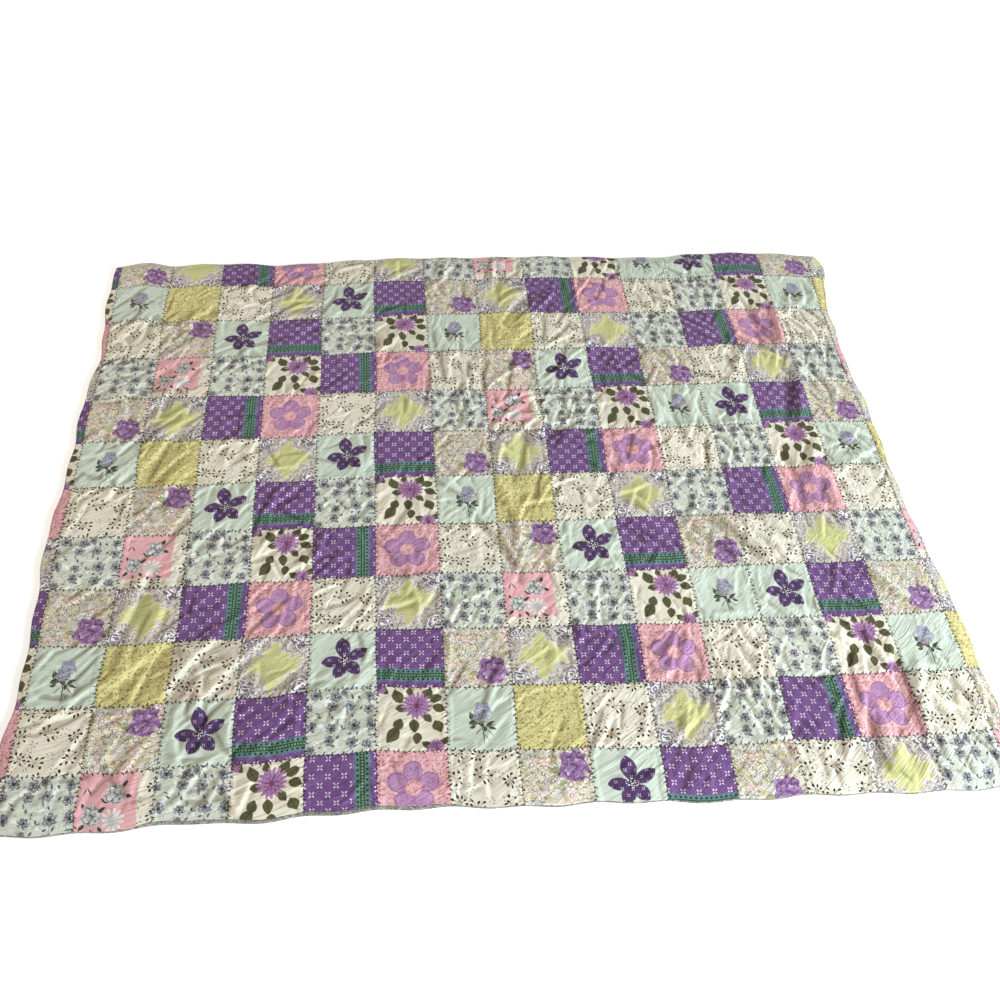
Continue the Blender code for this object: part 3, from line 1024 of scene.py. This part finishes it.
def printLimeCross(spot):
    colour = ground(spot, "crossGround", "white", 4.0, 0.6)
    spot = handDrawn(spot, 0.035, 9.0)
    colour = addLines(spot, colour, "lavenderGrey", 6.0, 7.0, 0.15, 2.0, 0.75)
    colour = addMarks(
        spot, colour, ("greyLine", 14.0, 0.040, 0.026, 0.6), ("lavenderDark", 18.0, 0.022, 0.018, 0.5)
    )
    local = spot - centre
    x, y, _ = parts(local)
    rosette = petalFlower(
        vector=joined(abs(x), abs(y)), place=(0.385, 0.385, 0.0), radius=0.165, petals=6.0,
        notch=0.20, turn=0.1,
    )
    rings = fraction(rosette["reach"] * 2.2 + noise(spot, 11.0, 1.0) * 3.5)
    tone = paint(softStep(rings, 0.34, 0.50), ink("white"), ink("lavenderMid"))
    tone = paint(softStep(rings, 0.66, 0.86), tone, ink("lavenderDark"))
    colour = paint(rosette["mask"], colour, tone)
    away = maths("MINIMUM", ovalReach(x, y, 0.365, 0.160), ovalReach(x, y, 0.155, 0.375))
    away = maths("MINIMUM", away, ovalReach(x, y, 0.250, 0.250)) + noise(spot, 10.0, 2.0) * 1.25
    away = away + maths("SINE", turnsTo(local) * (10 * fullTurn) + 0.9) * 0.12
    colour = paint(softStep(away, 1.86, 1.80) * 0.6, colour, ink("lavenderGrey"))
    colour = paint(softStep(away, 1.80, 1.70), colour, ink("crossPale"))
    lime = ground(spot, "limePale", "lime", 6.0, 0.7)
    lime = addLines(spot, lime, "limeDeep", 8.0, 5.0, 0.07, 5.0, 0.45)
    return paint(softStep(away, 1.66, 1.54), colour, lime)


def printMintPetal(spot):
    colour = ground(spot, "mint", "mintDeep", amount=0.25)
    spot = handDrawn(spot, 0.02, 5.0)
    heartX, heartY = 0.53, 0.51
    petals = []
    for degrees, length, width in (
        (97, 0.41, 0.25), (186, 0.36, 0.21), (27, 0.40, 0.21), (248, 0.35, 0.22), (310, 0.35, 0.22),
    ):
        angle, reach = math.radians(degrees), length / 2 - 0.005
        x, y = heartX + reach * math.cos(angle), heartY - reach * math.sin(angle)
        petals.append(leafAt(spot, x, y, degrees, length, width, 1.20, 0.80)["mask"])
    mask = most(*petals)
    colour = paint(mask, colour, ground(spot, "violet", "violetDeep", 8.0, 0.7))
    crosses = dotCross(vector=spot, pitch=0.150, rowPitch=0.092, spread=0.0135, dot=0.0068)
    colour = paint(crosses["mask"] * softStep(mask, 0.6, 1.0), colour, ink("white"))
    heart = petalFlower(
        vector=spot, place=(heartX, heartY, 0.0), radius=0.085, petals=6.0, notch=0.3, turn=0.0
    )["mask"]
    colour = paint(heart, colour, ink("violetDeep"))
    specks = scatteredMarks(vector=spot, scale=32.0, length=0.025, width=0.023, share=0.9, spread=0.6)
    return paint(specks["mask"] * heart, colour, ink("white"))


def printMintBuds(spot):
    colour = ground(spot, "mintGrey", "mint", 3.0, 0.6)
    spot = handDrawn(spot, 0.03)
    colour = addMarks(spot, colour, ("white", 5.0, 0.16, 0.07, 0.4))
    colour = addLines(spot, colour, "sageGrey", 5.0, 6.0, 0.10, 4.0, 0.55)
    colour = addMarks(
        spot, colour, ("tealSprig", 8.0, 0.090, 0.032, 0.30), ("budDark", 7.0, 0.075, 0.036, 0.40)
    )
    buds = scatteredMarks(vector=spot, scale=3.75, length=0.34, width=0.34, share=1.1, spread=0.60)
    radius = buds["random"] * 0.036 + 0.066
    bloom = petalFlower(vector=buds["local"], place=origin, radius=radius, petals=6.0, notch=0.34, turn=0.0)
    petal = paint(softStep(bloom["reach"], 0.55, 1.00), ink("bud"), ink("lavenderMid"))
    petal = paint(softStep(bloom["edge"], 0.66, 0.92) * 0.75, petal, ink("budDark"))
    petal = addLines(spot, petal, "budDeep", 14.0, 6.0, 0.17, 8.0, 0.80)
    petal = addMarks(spot, petal, ("budPale", 30.0, 0.024, 0.018, 0.45))
    petal = paint(softStep(bloom["reach"], 0.30, 0.20), petal, ink("budDeep"))
    colour = paint(bloom["mask"], colour, petal)
    return addMarks(spot, colour, ("budPale", 17.0, 0.030, 0.016, 0.40))


def printCreamDahlia(spot):
    colour = ground(spot, "cream", "creamShade", 2.6, 0.65)
    spot = handDrawn(spot, 0.035, 10.0)
    leaves = (
        (0.30, 0.15, 118, 0.24, 0.180), (0.48, 0.06, 100, 0.16, 0.120), (0.74, 0.10, 62, 0.22, 0.170),
        (0.86, 0.18, 24, 0.22, 0.150), (0.90, 0.34, -20, 0.22, 0.140), (0.35, 0.34, 196, 0.20, 0.130),
        (0.31, 0.60, 250, 0.22, 0.150), (0.23, 0.77, 236, 0.30, 0.190), (0.53, 0.61, -84, 0.24, 0.150),
        (0.72, 0.49, -52, 0.19, 0.120), (0.57, 0.80, -100, 0.19, 0.140), (0.87, 0.63, -64, 0.22, 0.180),
        (0.70, 0.90, 150, 0.18, 0.110), (0.10, 0.07, -40, 0.18, 0.130), (0.96, 0.86, 60, 0.17, 0.10),
    )
    colour = addLeaves(spot, colour, leaves, "leaf", "leafDark")
    for x, y, radius in ((0.57, 0.29, 0.225), (0.02, 0.03, 0.12), (0.84, 0.95, 0.135)):
        for share, petals, turn, middleInk in (
            (1.0, 17, 0.02, "magentaDark"), (0.80, 14, 0.05, "magentaDark"), (0.58, 11, 0.01, "magentaDark"),
            (0.36, 7, 0.04, "magenta"),
        ):
            inkNames = (middleInk, "magentaPale", "magentaDark")
            colour = addFlower(spot, colour, x, y, radius * share, petals, 0.50, turn, inkNames, 0.52)
    return colour


def printPinkRoses(spot):
    x, y, _ = parts(spot)
    border = addSprigs(spot + (0.17, 0.15, 0.0), ground(spot, "cream", "creamShade", amount=0.3))
    pink = ground(spot, "pinkDusty", "pinkPale", 4.0, 0.6)
    pink = addLines(spot, pink, "pinkShade", 8.0, 5.0, 0.10, 6.0, 0.4)
    colour = paint(softStep(x, 0.805, 0.795) * softStep(y, 0.835, 0.825), border, pink)
    spot = handDrawn(spot, 0.03)
    leaves = (
        (0.62, 0.16, 60, 0.13, 0.065), (0.68, 0.34, -10, 0.12, 0.055), (0.38, 0.38, 160, 0.14, 0.055),
        (0.36, 0.50, 40, 0.13, 0.055), (0.09, 0.74, 230, 0.11, 0.055), (0.34, 0.77, -60, 0.11, 0.050),
        (0.62, 0.80, -20, 0.11, 0.050), (0.11, 0.27, 60, 0.12, 0.022), (0.17, 0.27, 120, 0.12, 0.022),
        (0.46, 0.83, -100, 0.09, 0.036), (0.10, 0.46, 110, 0.10, 0.045), (0.22, 0.80, -90, 0.09, 0.040),
    )
    colour = addLeaves(spot, colour, leaves, "sprig", "greyLine", 0.4)
    inkNames = ("greyRose", "white", "greyLine")
    colour = addFlower(spot, colour, 0.50, 0.64, 0.165, 11, 0.75, 0.0, inkNames, 0.62)
    for x, y, radius in ((0.51, 0.29, 0.150), (0.22, 0.59, 0.145)):
        colour = addRose(spot, colour, x, y, radius, ("budDeep", "greyRose", "white"), 2.3)
    return colour


def printPaisley(spot, roseX, roseY, radius):
    colour = ground(spot, "cream", "white", 3.0, 0.5)
    spot = handDrawn(spot, 0.05, 6.0)
    first, second, _ = parts(noise(spot, 2.6, 1.0, output=1))
    warm = paint(softStep(first, 0.46, 0.54), ink("paisleyGrey"), ink("paisleyOlive"))
    warm = paint(softStep(second, 0.54, 0.60), warm, ink("paisleyPink"))
    wash = lineWork(vector=spot, scale=3.5, lines=3.0, width=0.22, seed=14.0)
    colour = paint(wash["mask"] * 0.14, colour, warm)
    small = outlineFlowers(vector=spot, scale=7.5, spread=0.9, radius=0.064, width=0.11, petals=5.0)
    colour = paint(small["mask"] * 0.75, colour, warm)
    large = outlineFlowers(
        vector=spot + (3.2, 1.4, 0.0), scale=4.0, spread=0.7, radius=0.115, width=0.070, petals=7.0
    )
    colour = paint(large["inside"] * 0.70, colour, ink("white"))
    colour = paint(large["mask"] * 0.90, colour, warm)
    colour = addLines(spot, colour, "greyLine", 8.0, 7.0, 0.06, 3.0, 0.5)
    colour = addMarks(
        spot, colour, ("paisleyGrey", 11.0, 0.060, 0.018, 0.45), ("yellowLine", 6.0, 0.09, 0.05, 0.4),
        ("sage", 9.0, 0.07, 0.028, 0.5),
    )
    leaves = (
        (roseX - 0.28, roseY + 0.03, 190, 0.17, 0.090), (roseX - 0.20, roseY + 0.22, 230, 0.15, 0.080),
        (roseX + 0.03, roseY - 0.29, 80, 0.14, 0.070),
    )
    colour = addLeaves(spot, colour, leaves, "sage", "yellowLine")
    return addRose(spot, colour, roseX, roseY, radius, ("roseDark", "rose", "rosePale"), 2.7)


def printPaisleyFront(spot):
    return printPaisley(spot, 0.73, 0.74, 0.245)


def printPaisleyBack(spot):
    return printPaisley(spot, 0.76, 0.27, 0.240)


# Finish of the printed cotton. Heights are in metres
cotton = {
    "stitchPitch": 0.066,  # as shares of a patch
    "stitchLength": 0.052,
    "stitchWidth": 0.0125,
    "thread": 0.0011,
    "weaveDepth": 0.00012,
    "crinkleDepth": 0.0021,
    "crinkleScale": 42.0,
    "fineDepth": 0.0021,
    "fineScale": 112.0,
    "gather": 1.15,  # how much the crumple gathers along the seams, and how far from them in patches
    "gatherWidth": 0.17,
    "crinkleFrom": 46.0,  # direction of the crinkle at the left and the right side, in degrees
    "crinkleTo": 110.0,
    "sheen": 0.10,
    "specular": 0.25,
}


def bumped(height, depth, strength, under=None):
    inputs = {"Height": height, "Distance": depth, "Strength": strength}
    if under is not None:
        inputs["Normal"] = under
    return addNode(height.tree, "Bump", inputs)[0]


def gatheredBySeams(place):
    # 1 along the seams, 0 further in
    x, y, _ = parts(maths("ABSOLUTE", fraction(place + (20.5, 20.5, 0.0)) - centre))
    return softStep(maths("MINIMUM", x, y), cotton["gatherWidth"], 0.02) * cotton["gather"]


def newMaterial(name):
    material = bpy.data.materials.new(name)
    material.use_nodes = True
    return material, material.node_tree, material.node_tree.nodes["Principled BSDF"].inputs


def finishCotton(shader, worn, normal):
    feed(shader["Base Color"], worn["colour"])
    feed(shader["Roughness"], worn["roughness"])
    feed(shader["Normal"], normal)
    shader["Sheen Weight"].default_value = cotton["sheen"]
    shader["Specular IOR Level"].default_value = cotton["specular"]


def makePrintedCotton(name, printMotif):
    material, tree, shader = newMaterial("printedCotton-" + name)
    place = addNode(tree, "UVMap", {}, uv_map="patch")[0]
    onCloth = place * (layout["patch"], layout["patch"], 1.0)
    colour = printMotif(fraction(place))
    across, along, _ = parts(place)
    seams = [
        seamStitches(
            across=first, along=second, pitch=cotton["stitchPitch"], length=cotton["stitchLength"],
            width=cotton["stitchWidth"],
        )["mask"]
        for first, second in ((across, along), (along, across))
    ]
    colour = paint(most(*seams), colour, ink("stitch"))
    weave = cottonWeave(vector=onCloth, thread=cotton["thread"])
    sweep = {
        "Value": across, "From Min": 0.0, "From Max": float(layout["columns"]),
        "To Min": math.radians(cotton["crinkleFrom"]), "To Max": math.radians(cotton["crinkleTo"]),
    }
    crinkle = softCrinkle(
        vector=onCloth, angle=addNode(tree, "MapRange", sweep)[0], scale=cotton["crinkleScale"],
        fineScale=cotton["fineScale"], seam=gatheredBySeams(place),
    )
    # how deep the folds' hollows are, which sets the painted shade in them and the painted highlights on
    # their crests
    hollow = addNode(tree, "Attribute", {}, attribute_name="hollow")[2]
    # the crinkle's height also paints light and shade into the colour
    worn = washedWear(
        colour=colour, place=onCloth, patch=maths("FLOOR", place), hollow=hollow, crumple=crinkle["height"],
        slub=weave["slub"],
    )
    crumple = bumped(crinkle["height"], cotton["crinkleDepth"], 1.0)
    crumple = bumped(crinkle["fine"], cotton["fineDepth"], 1.0, crumple)
    finishCotton(shader, worn, bumped(weave["height"], cotton["weaveDepth"], 0.6, crumple))
    return material


printers = {
    "mintRose": printMintRose,
    "lime": printLime,
    "creamSprig": printCreamSprig,
    "purpleUpright": printPurpleUpright,
    "purpleLevel": printPurpleLevel,
    "pinkPetal": printPinkPetal,
    "limeCross": printLimeCross,
    "mintPetal": printMintPetal,
    "mintBuds": printMintBuds,
    "creamDahlia": printCreamDahlia,
    "pinkRoses": printPinkRoses,
    "paisleyFront": printPaisleyFront,
    "paisleyBack": printPaisleyBack,
}

# The printed repeat: 13 patches across, and 4 rows deep
repeat = (
    "paisleyFront limeCross purpleUpright pinkPetal creamSprig limeCross mintBuds pinkRoses mintBuds "
    "creamDahlia mintRose mintPetal purpleLevel",
    "mintRose lime creamSprig limeCross mintPetal purpleLevel paisleyFront limeCross purpleUpright "
    "pinkPetal creamSprig mintBuds creamDahlia",
    "creamSprig paisleyBack mintPetal purpleLevel mintBuds creamDahlia mintRose lime creamSprig limeCross "
    "mintBuds purpleUpright pinkPetal",
    "mintBuds pinkRoses mintBuds creamDahlia purpleUpright pinkPetal creamSprig paisleyBack mintPetal "
    "purpleLevel paisleyFront creamSprig limeCross",
)
repeat = [row.split() for row in repeat]

prints = {name: makePrintedCotton(name, printMotif) for name, printMotif in printers.items()}
print("printed cottons made:", len(prints))

# The backing's rim, rolled up round the edge. Profile: how far in from the outline, as a share of the roll's
# width, and how high, as a share of its height
roll = {
    "width": 0.0095,
    "height": 0.0085,
    "coveredHeight": 0.84,  # share of its height where the top cloth lies over it
    "shows": 0.0022,  # width that shows beyond the top cloth, and more along one stretch of the front
    "showsMore": 0.0048,
    "moreFrom": -0.80,
    "moreTo": -0.14,
    "profile": (
        (0.37, 0.0), (0.13, 0.12), (0.03, 0.30), (0.0, 0.45), (0.03, 0.62), (0.13, 0.80), (0.30, 0.94),
        (0.50, 1.0), (0.68, 0.95), (0.85, 0.80), (1.0, 0.60), (1.0, 0.18),
    ),
    "tuck": 0.0030,  # how far the top cloth's edge turns down behind the roll
    "pullReach": 0.030,  # how far in the top cloth is drawn back from the roll
    "moreEnds": 0.05,  # over what length the wider stretch begins and ends
}


def rollShows(x, front):
    # how much of the roll shows at a place along the rim
    begun = np.clip((x - roll["moreFrom"]) / roll["moreEnds"], 0, 1)
    more = begun * np.clip((roll["moreTo"] - x) / roll["moreEnds"], 0, 1)
    return roll["shows"] + np.where(front, roll["showsMore"] * more * more * (3 - 2 * more), 0)


def drawBackFromRim(surface):
    # moves the top cloth's rim in, so that the roll shows beyond it, and turns its edge down
    fromRims = (gridS - sLines[0], sLines[-1] - gridS, gridT - tLines[0], tLines[-1] - gridT)
    ways = ((1, 0), (-1, 0), (0, 1), (0, -1))
    moved = surface.copy()
    for number, (distance, (dx, dy)) in enumerate(zip(fromRims, ways)):
        near = np.clip(1 - distance / roll["pullReach"], 0, 1) * rollShows(gridS, number == 2)
        moved[..., 0] += dx * near
        moved[..., 1] += dy * near
    moved = np.pad(moved, ((1, 1), (1, 1), (0, 0)), mode="edge")
    for edge in (moved[0], moved[-1], moved[:, 0], moved[:, -1]):
        edge[:, 2] -= roll["tuck"]
    return moved


def placesInPatches():
    # the grid lines in patches, with the turned edge: columns from the first whole one, rows from the back
    s = np.pad(sLines, 1, mode="edge") / layout["patch"] + layout["columns"] / 2
    t = layout["rows"] / 2 + 1 - np.pad(tLines, 1, mode="edge") / layout["patch"]
    return s, t


# What counts as a hollow or a crest: blur in grid cells, height (m) that makes it a sharp one, and share
hollowScales = ((3, 0.0011, 0.6), (9, 0.0030, 0.5))


def hollowsOf(height):
    # 1 in a sharp hollow, -1 on a sharp crest
    depths = [share * ((blurred(height, cells) - height) / sharp) for cells, sharp, share in hollowScales]
    return np.clip(depths[0] + depths[1], -1, 1)


# depth of the folds' hollows and crests, which sets where the cotton gets painted shade and painted
# highlights
hollows = np.pad(hollowsOf(cloth[..., 2] - easedToRim(channelHeight())), 1, mode="edge")
cloth = drawBackFromRim(cloth)
across, down = placesInPatches()
slopes = np.stack(np.gradient(cloth, axis=0), 0), np.stack(np.gradient(cloth, axis=1), 0)
normals = np.cross(slopes[0], slopes[1])
normals /= np.linalg.norm(normals, axis=2)[..., None]
columnOf = np.floor((across[:-1] + across[1:]) / 2 + 1e-6).astype(int)
rowOf = np.floor((down[:-1] + down[1:]) / 2 - 1e-6).astype(int)


def bakeSpot(columns, local):
    # each patch of a row gets its own square of the row's picture, four by four, with a margin
    square, side, margin = columns + 1, 4, 0.015
    corner = np.stack([square % side, square // side], axis=-1)
    return (corner + margin + (1 - 2 * margin) * local) / side


def addPrints(mesh, row, columns):
    # the cottons of one row of patches, as the materials of its faces
    repeatRow = repeat[row % len(repeat)]
    names = [repeatRow[column % len(repeatRow)] for column in range(columnOf[0], columnOf[-1] + 1)]
    used = sorted(set(names))
    for name in used:
        mesh.materials.append(prints[name])
    slots = np.array([used.index(name) for name in names])
    mesh.polygons.foreach_set("material_index", slots[columns - columnOf[0]])


def makeRowMesh(row, name):
    picked = np.where(rowOf == row)[0]
    lines = slice(picked[0], picked[-1] + 2)
    points = cloth[:, lines]
    countX, countY = points.shape[:2]
    index = np.arange(countX * countY).reshape(countX, countY)
    square = (index[:-1, :-1], index[1:, :-1], index[1:, 1:], index[:-1, 1:])
    corners = np.stack(square, axis=-1).reshape(-1, 4)
    mesh = bpy.data.meshes.new(name)
    mesh.from_pydata(points.reshape(-1, 3), [], corners)
    mesh.shade_smooth()
    columns = np.repeat(columnOf, countY - 1)
    u, v = np.meshgrid(across, down[lines], indexing="ij")
    places = np.stack([u, v], axis=-1).reshape(-1, 2)[corners]
    patches = np.stack([columns, np.full_like(columns, row)], axis=-1)[:, None]
    baked = bakeSpot(columns[:, None], places - patches)
    mesh.uv_layers.new(name="OFBake").data.foreach_set("uv", baked.ravel())
    mesh.uv_layers.new(name="patch").data.foreach_set("uv", places.ravel())
    mesh.attributes.new("hollow", "FLOAT", "POINT").data.foreach_set("value", hollows[:, lines].ravel())
    addPrints(mesh, row, columns)
    mesh.normals_split_custom_set_from_vertices(normals[:, lines].reshape(-1, 3))
    return mesh


def makePatchRow(row):
    name = f"patchRow{row:02d}"
    piece = bpy.data.objects.new(name, makeRowMesh(row, name))
    bpy.context.scene.collection.objects.link(piece)
    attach(piece, "root")
    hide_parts("comforter")
    return piece


patchRows = [makePatchRow(row) for row in range(rowOf.min(), rowOf.max() + 1)]
print("rows of patches made:", len(patchRows))

# Speckled cloth of the backing
speckle = {"scale": 260.0, "bigScale": 95.0, "bumpDepth": 0.0002, "crinkle": 1.6}


def makeBackingCotton():
    material, tree, shader = newMaterial("speckledBacking")
    place = addNode(tree, "TexCoord", {})[3]
    blots = softStep(noise(place, speckle["bigScale"], 2.0), 0.45, 0.60)
    specks = softStep(noise(place, speckle["scale"], 2.0), 0.52, 0.60)
    colour = paint(specks, paint(blots, ink("backing"), ink("backingPale")), ink("backingDark"))
    weave = cottonWeave(vector=place, thread=cotton["thread"])
    crinkle = softCrinkle(vector=place, scale=cotton["crinkleScale"] * speckle["crinkle"])
    worn = washedWear(colour=colour, place=place, hollow=0.0, slub=weave["slub"])
    crumple = bumped(crinkle["height"], cotton["crinkleDepth"], 0.6)
    finishCotton(shader, worn, bumped(weave["height"], speckle["bumpDepth"], 0.6, crumple))
    return material


def inset(loop, by):
    # the front and back rims move in along Y and the side rims along X, as far as the moved corners
    sides = 1.0 * (rim[:, 0] == 0) - (rim[:, 0] == rim[:, 0].max())
    ends = 1.0 * (rim[:, 1] == 0) - (rim[:, 1] == rim[:, 1].max())
    moved = loop + by * np.column_stack([sides, ends])
    corners = np.flatnonzero(sides * ends)
    for start, end in zip(corners, np.roll(corners, -1)):
        run = slice(start + 1, end or len(loop))
        axis = 0 if ends[start + 1] else 1
        low, high = sorted((moved[start, axis], moved[end, axis]))
        moved[run, axis] = np.clip(moved[run, axis], low, high)
    return moved


def makeBacking():
    count = len(outline)
    front = (rim[:, 1] == 0) & (rim[:, 0] > 0)
    shows = rollShows(outline[:, 0] + middle[0], front)
    high = np.interp(shows, (roll["shows"], roll["shows"] + roll["showsMore"]), (roll["coveredHeight"], 1.0))
    loops = []
    for share, rise in roll["profile"]:
        flat = inset(outline, roll["width"] * share)
        loops.append(np.column_stack([flat, roll["height"] * rise * high]))
    points = np.concatenate(loops)
    around = np.arange(count)
    onwards = np.roll(around, -1)
    faces = []
    for level in range(len(loops) - 1):
        low, up = level * count, (level + 1) * count
        faces += np.stack([low + around, low + onwards, up + onwards, up + around], axis=1).tolist()
    faces.append(around[::-1].tolist())
    faces.append(((len(loops) - 1) * count + around).tolist())
    mesh = bpy.data.meshes.new("backing-cloth")
    mesh.from_pydata(points, [], faces)
    mesh.shade_smooth()
    mesh.polygons[-1].use_smooth = mesh.polygons[-2].use_smooth = False
    mesh.materials.append(makeBackingCotton())
    piece = bpy.data.objects.new("backing-cloth", mesh)
    bpy.context.scene.collection.objects.link(piece)
    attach(piece, "root")
    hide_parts("backing")


makeBacking()
print("backing made")

# The room: a pale floor, a cool low window light from the front right, a faint warm lamp at the left,
# and soft light all round
room = {
    "floor": (0.93, 0.93, 0.93, 1.0),
    "floorSize": 14.0,
    "floorHeight": -0.0005,  # just under the backing
    "floorGlow": 0.45,  # seen by the camera only, as in a white studio sweep
    "keyPlace": (4.4, -2.9, 2.1),
    "keyPower": 414.0,
    "keySize": 1.5,
    "keyColour": (0.90, 0.97, 1.0),
    "lampPlace": (-3.6, 1.2, 1.9),
    "lampPower": 34.0,
    "lampSize": 1.2,
    "lampColour": (1.0, 0.80, 0.56),
    "sky": (1.0, 0.95, 0.88, 1.0),
    "skyStrength": 0.39,
}


def makeFloor():
    half = room["floorSize"] / 2
    corners = [(-half, -half, 0), (half, -half, 0), (half, half, 0), (-half, half, 0)]
    mesh = bpy.data.meshes.new("floor")
    mesh.from_pydata(corners, [], [(0, 1, 2, 3)])
    material, tree, shader = newMaterial("paleFloor")
    shader["Base Color"].default_value = room["floor"]
    shader["Roughness"].default_value = 0.95
    shader["Emission Color"].default_value = (1.0, 1.0, 1.0, 1.0)
    isCameraRay = addNode(tree, "LightPath", {})[0]
    feed(shader["Emission Strength"], isCameraRay * room["floorGlow"])
    mesh.materials.append(material)
    floor = bpy.data.objects.new("floor", mesh)
    floor.location.z = room["floorHeight"]
    bpy.context.scene.collection.objects.link(floor)
    floor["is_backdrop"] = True


def addLight(name, place, power, size, colour):
    light = bpy.data.lights.new(name, "AREA")
    light.energy = power
    light.size = size
    light.color = colour
    lamp = bpy.data.objects.new(name, light)
    lamp.location = place
    lamp.rotation_euler = (-Vector(place)).to_track_quat("-Z", "Y").to_euler()
    bpy.context.scene.collection.objects.link(lamp)


def addSky():
    world = bpy.data.worlds.new("sky")
    world.use_nodes = True
    sky = world.node_tree.nodes["Background"]
    sky.inputs["Color"].default_value = room["sky"]
    sky.inputs["Strength"].default_value = room["skyStrength"]
    bpy.context.scene.world = world


# The camera, where the photograph was taken from. Focal length is in pixels of a 1000-pixel frame
camera = {
    "place": (-0.20812, -1.60217, 2.02469),  # from the crossing of the middle seams
    "focal": 1002.32,
    "turnedRight": 8.2077,
    "downwards": 52.6307,
    "rolled": -4.6083,
}


def addCamera():
    turn, drop, rolled = (math.radians(camera[name]) for name in ("turnedRight", "downwards", "rolled"))
    ahead = Vector((math.sin(turn) * math.cos(drop), math.cos(turn) * math.cos(drop), -math.sin(drop)))
    level = ahead.cross(Vector((0, 0, 1))).normalized()
    upright = level.cross(ahead)
    right = math.cos(rolled) * level - math.sin(rolled) * upright
    up = math.cos(rolled) * upright + math.sin(rolled) * level
    lens = bpy.data.cameras.new("camera")
    lens.sensor_width = 36
    lens.lens = camera["focal"] / 1000 * 36
    holder = bpy.data.objects.new("camera", lens)
    bpy.context.scene.collection.objects.link(holder)
    stands = Matrix((right, up, -ahead)).transposed().to_4x4()
    stands.translation = Vector(camera["place"]) - Vector((*middle, 0))
    holder.matrix_world = stands
    bpy.context.scene.camera = holder


makeFloor()
addLight("windowLight", room["keyPlace"], room["keyPower"], room["keySize"], room["keyColour"])
addLight("lampLight", room["lampPlace"], room["lampPower"], room["lampSize"], room["lampColour"])
addSky()
addCamera()
bpy.context.scene.view_settings.view_transform = "Standard"
print("room and camera placed")

sizes = {"cad": [list(corner) for corner in cadBox], "visual": [list(corner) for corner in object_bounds()]}
print(f"whole script: {time.time() - startTime:.0f} s")
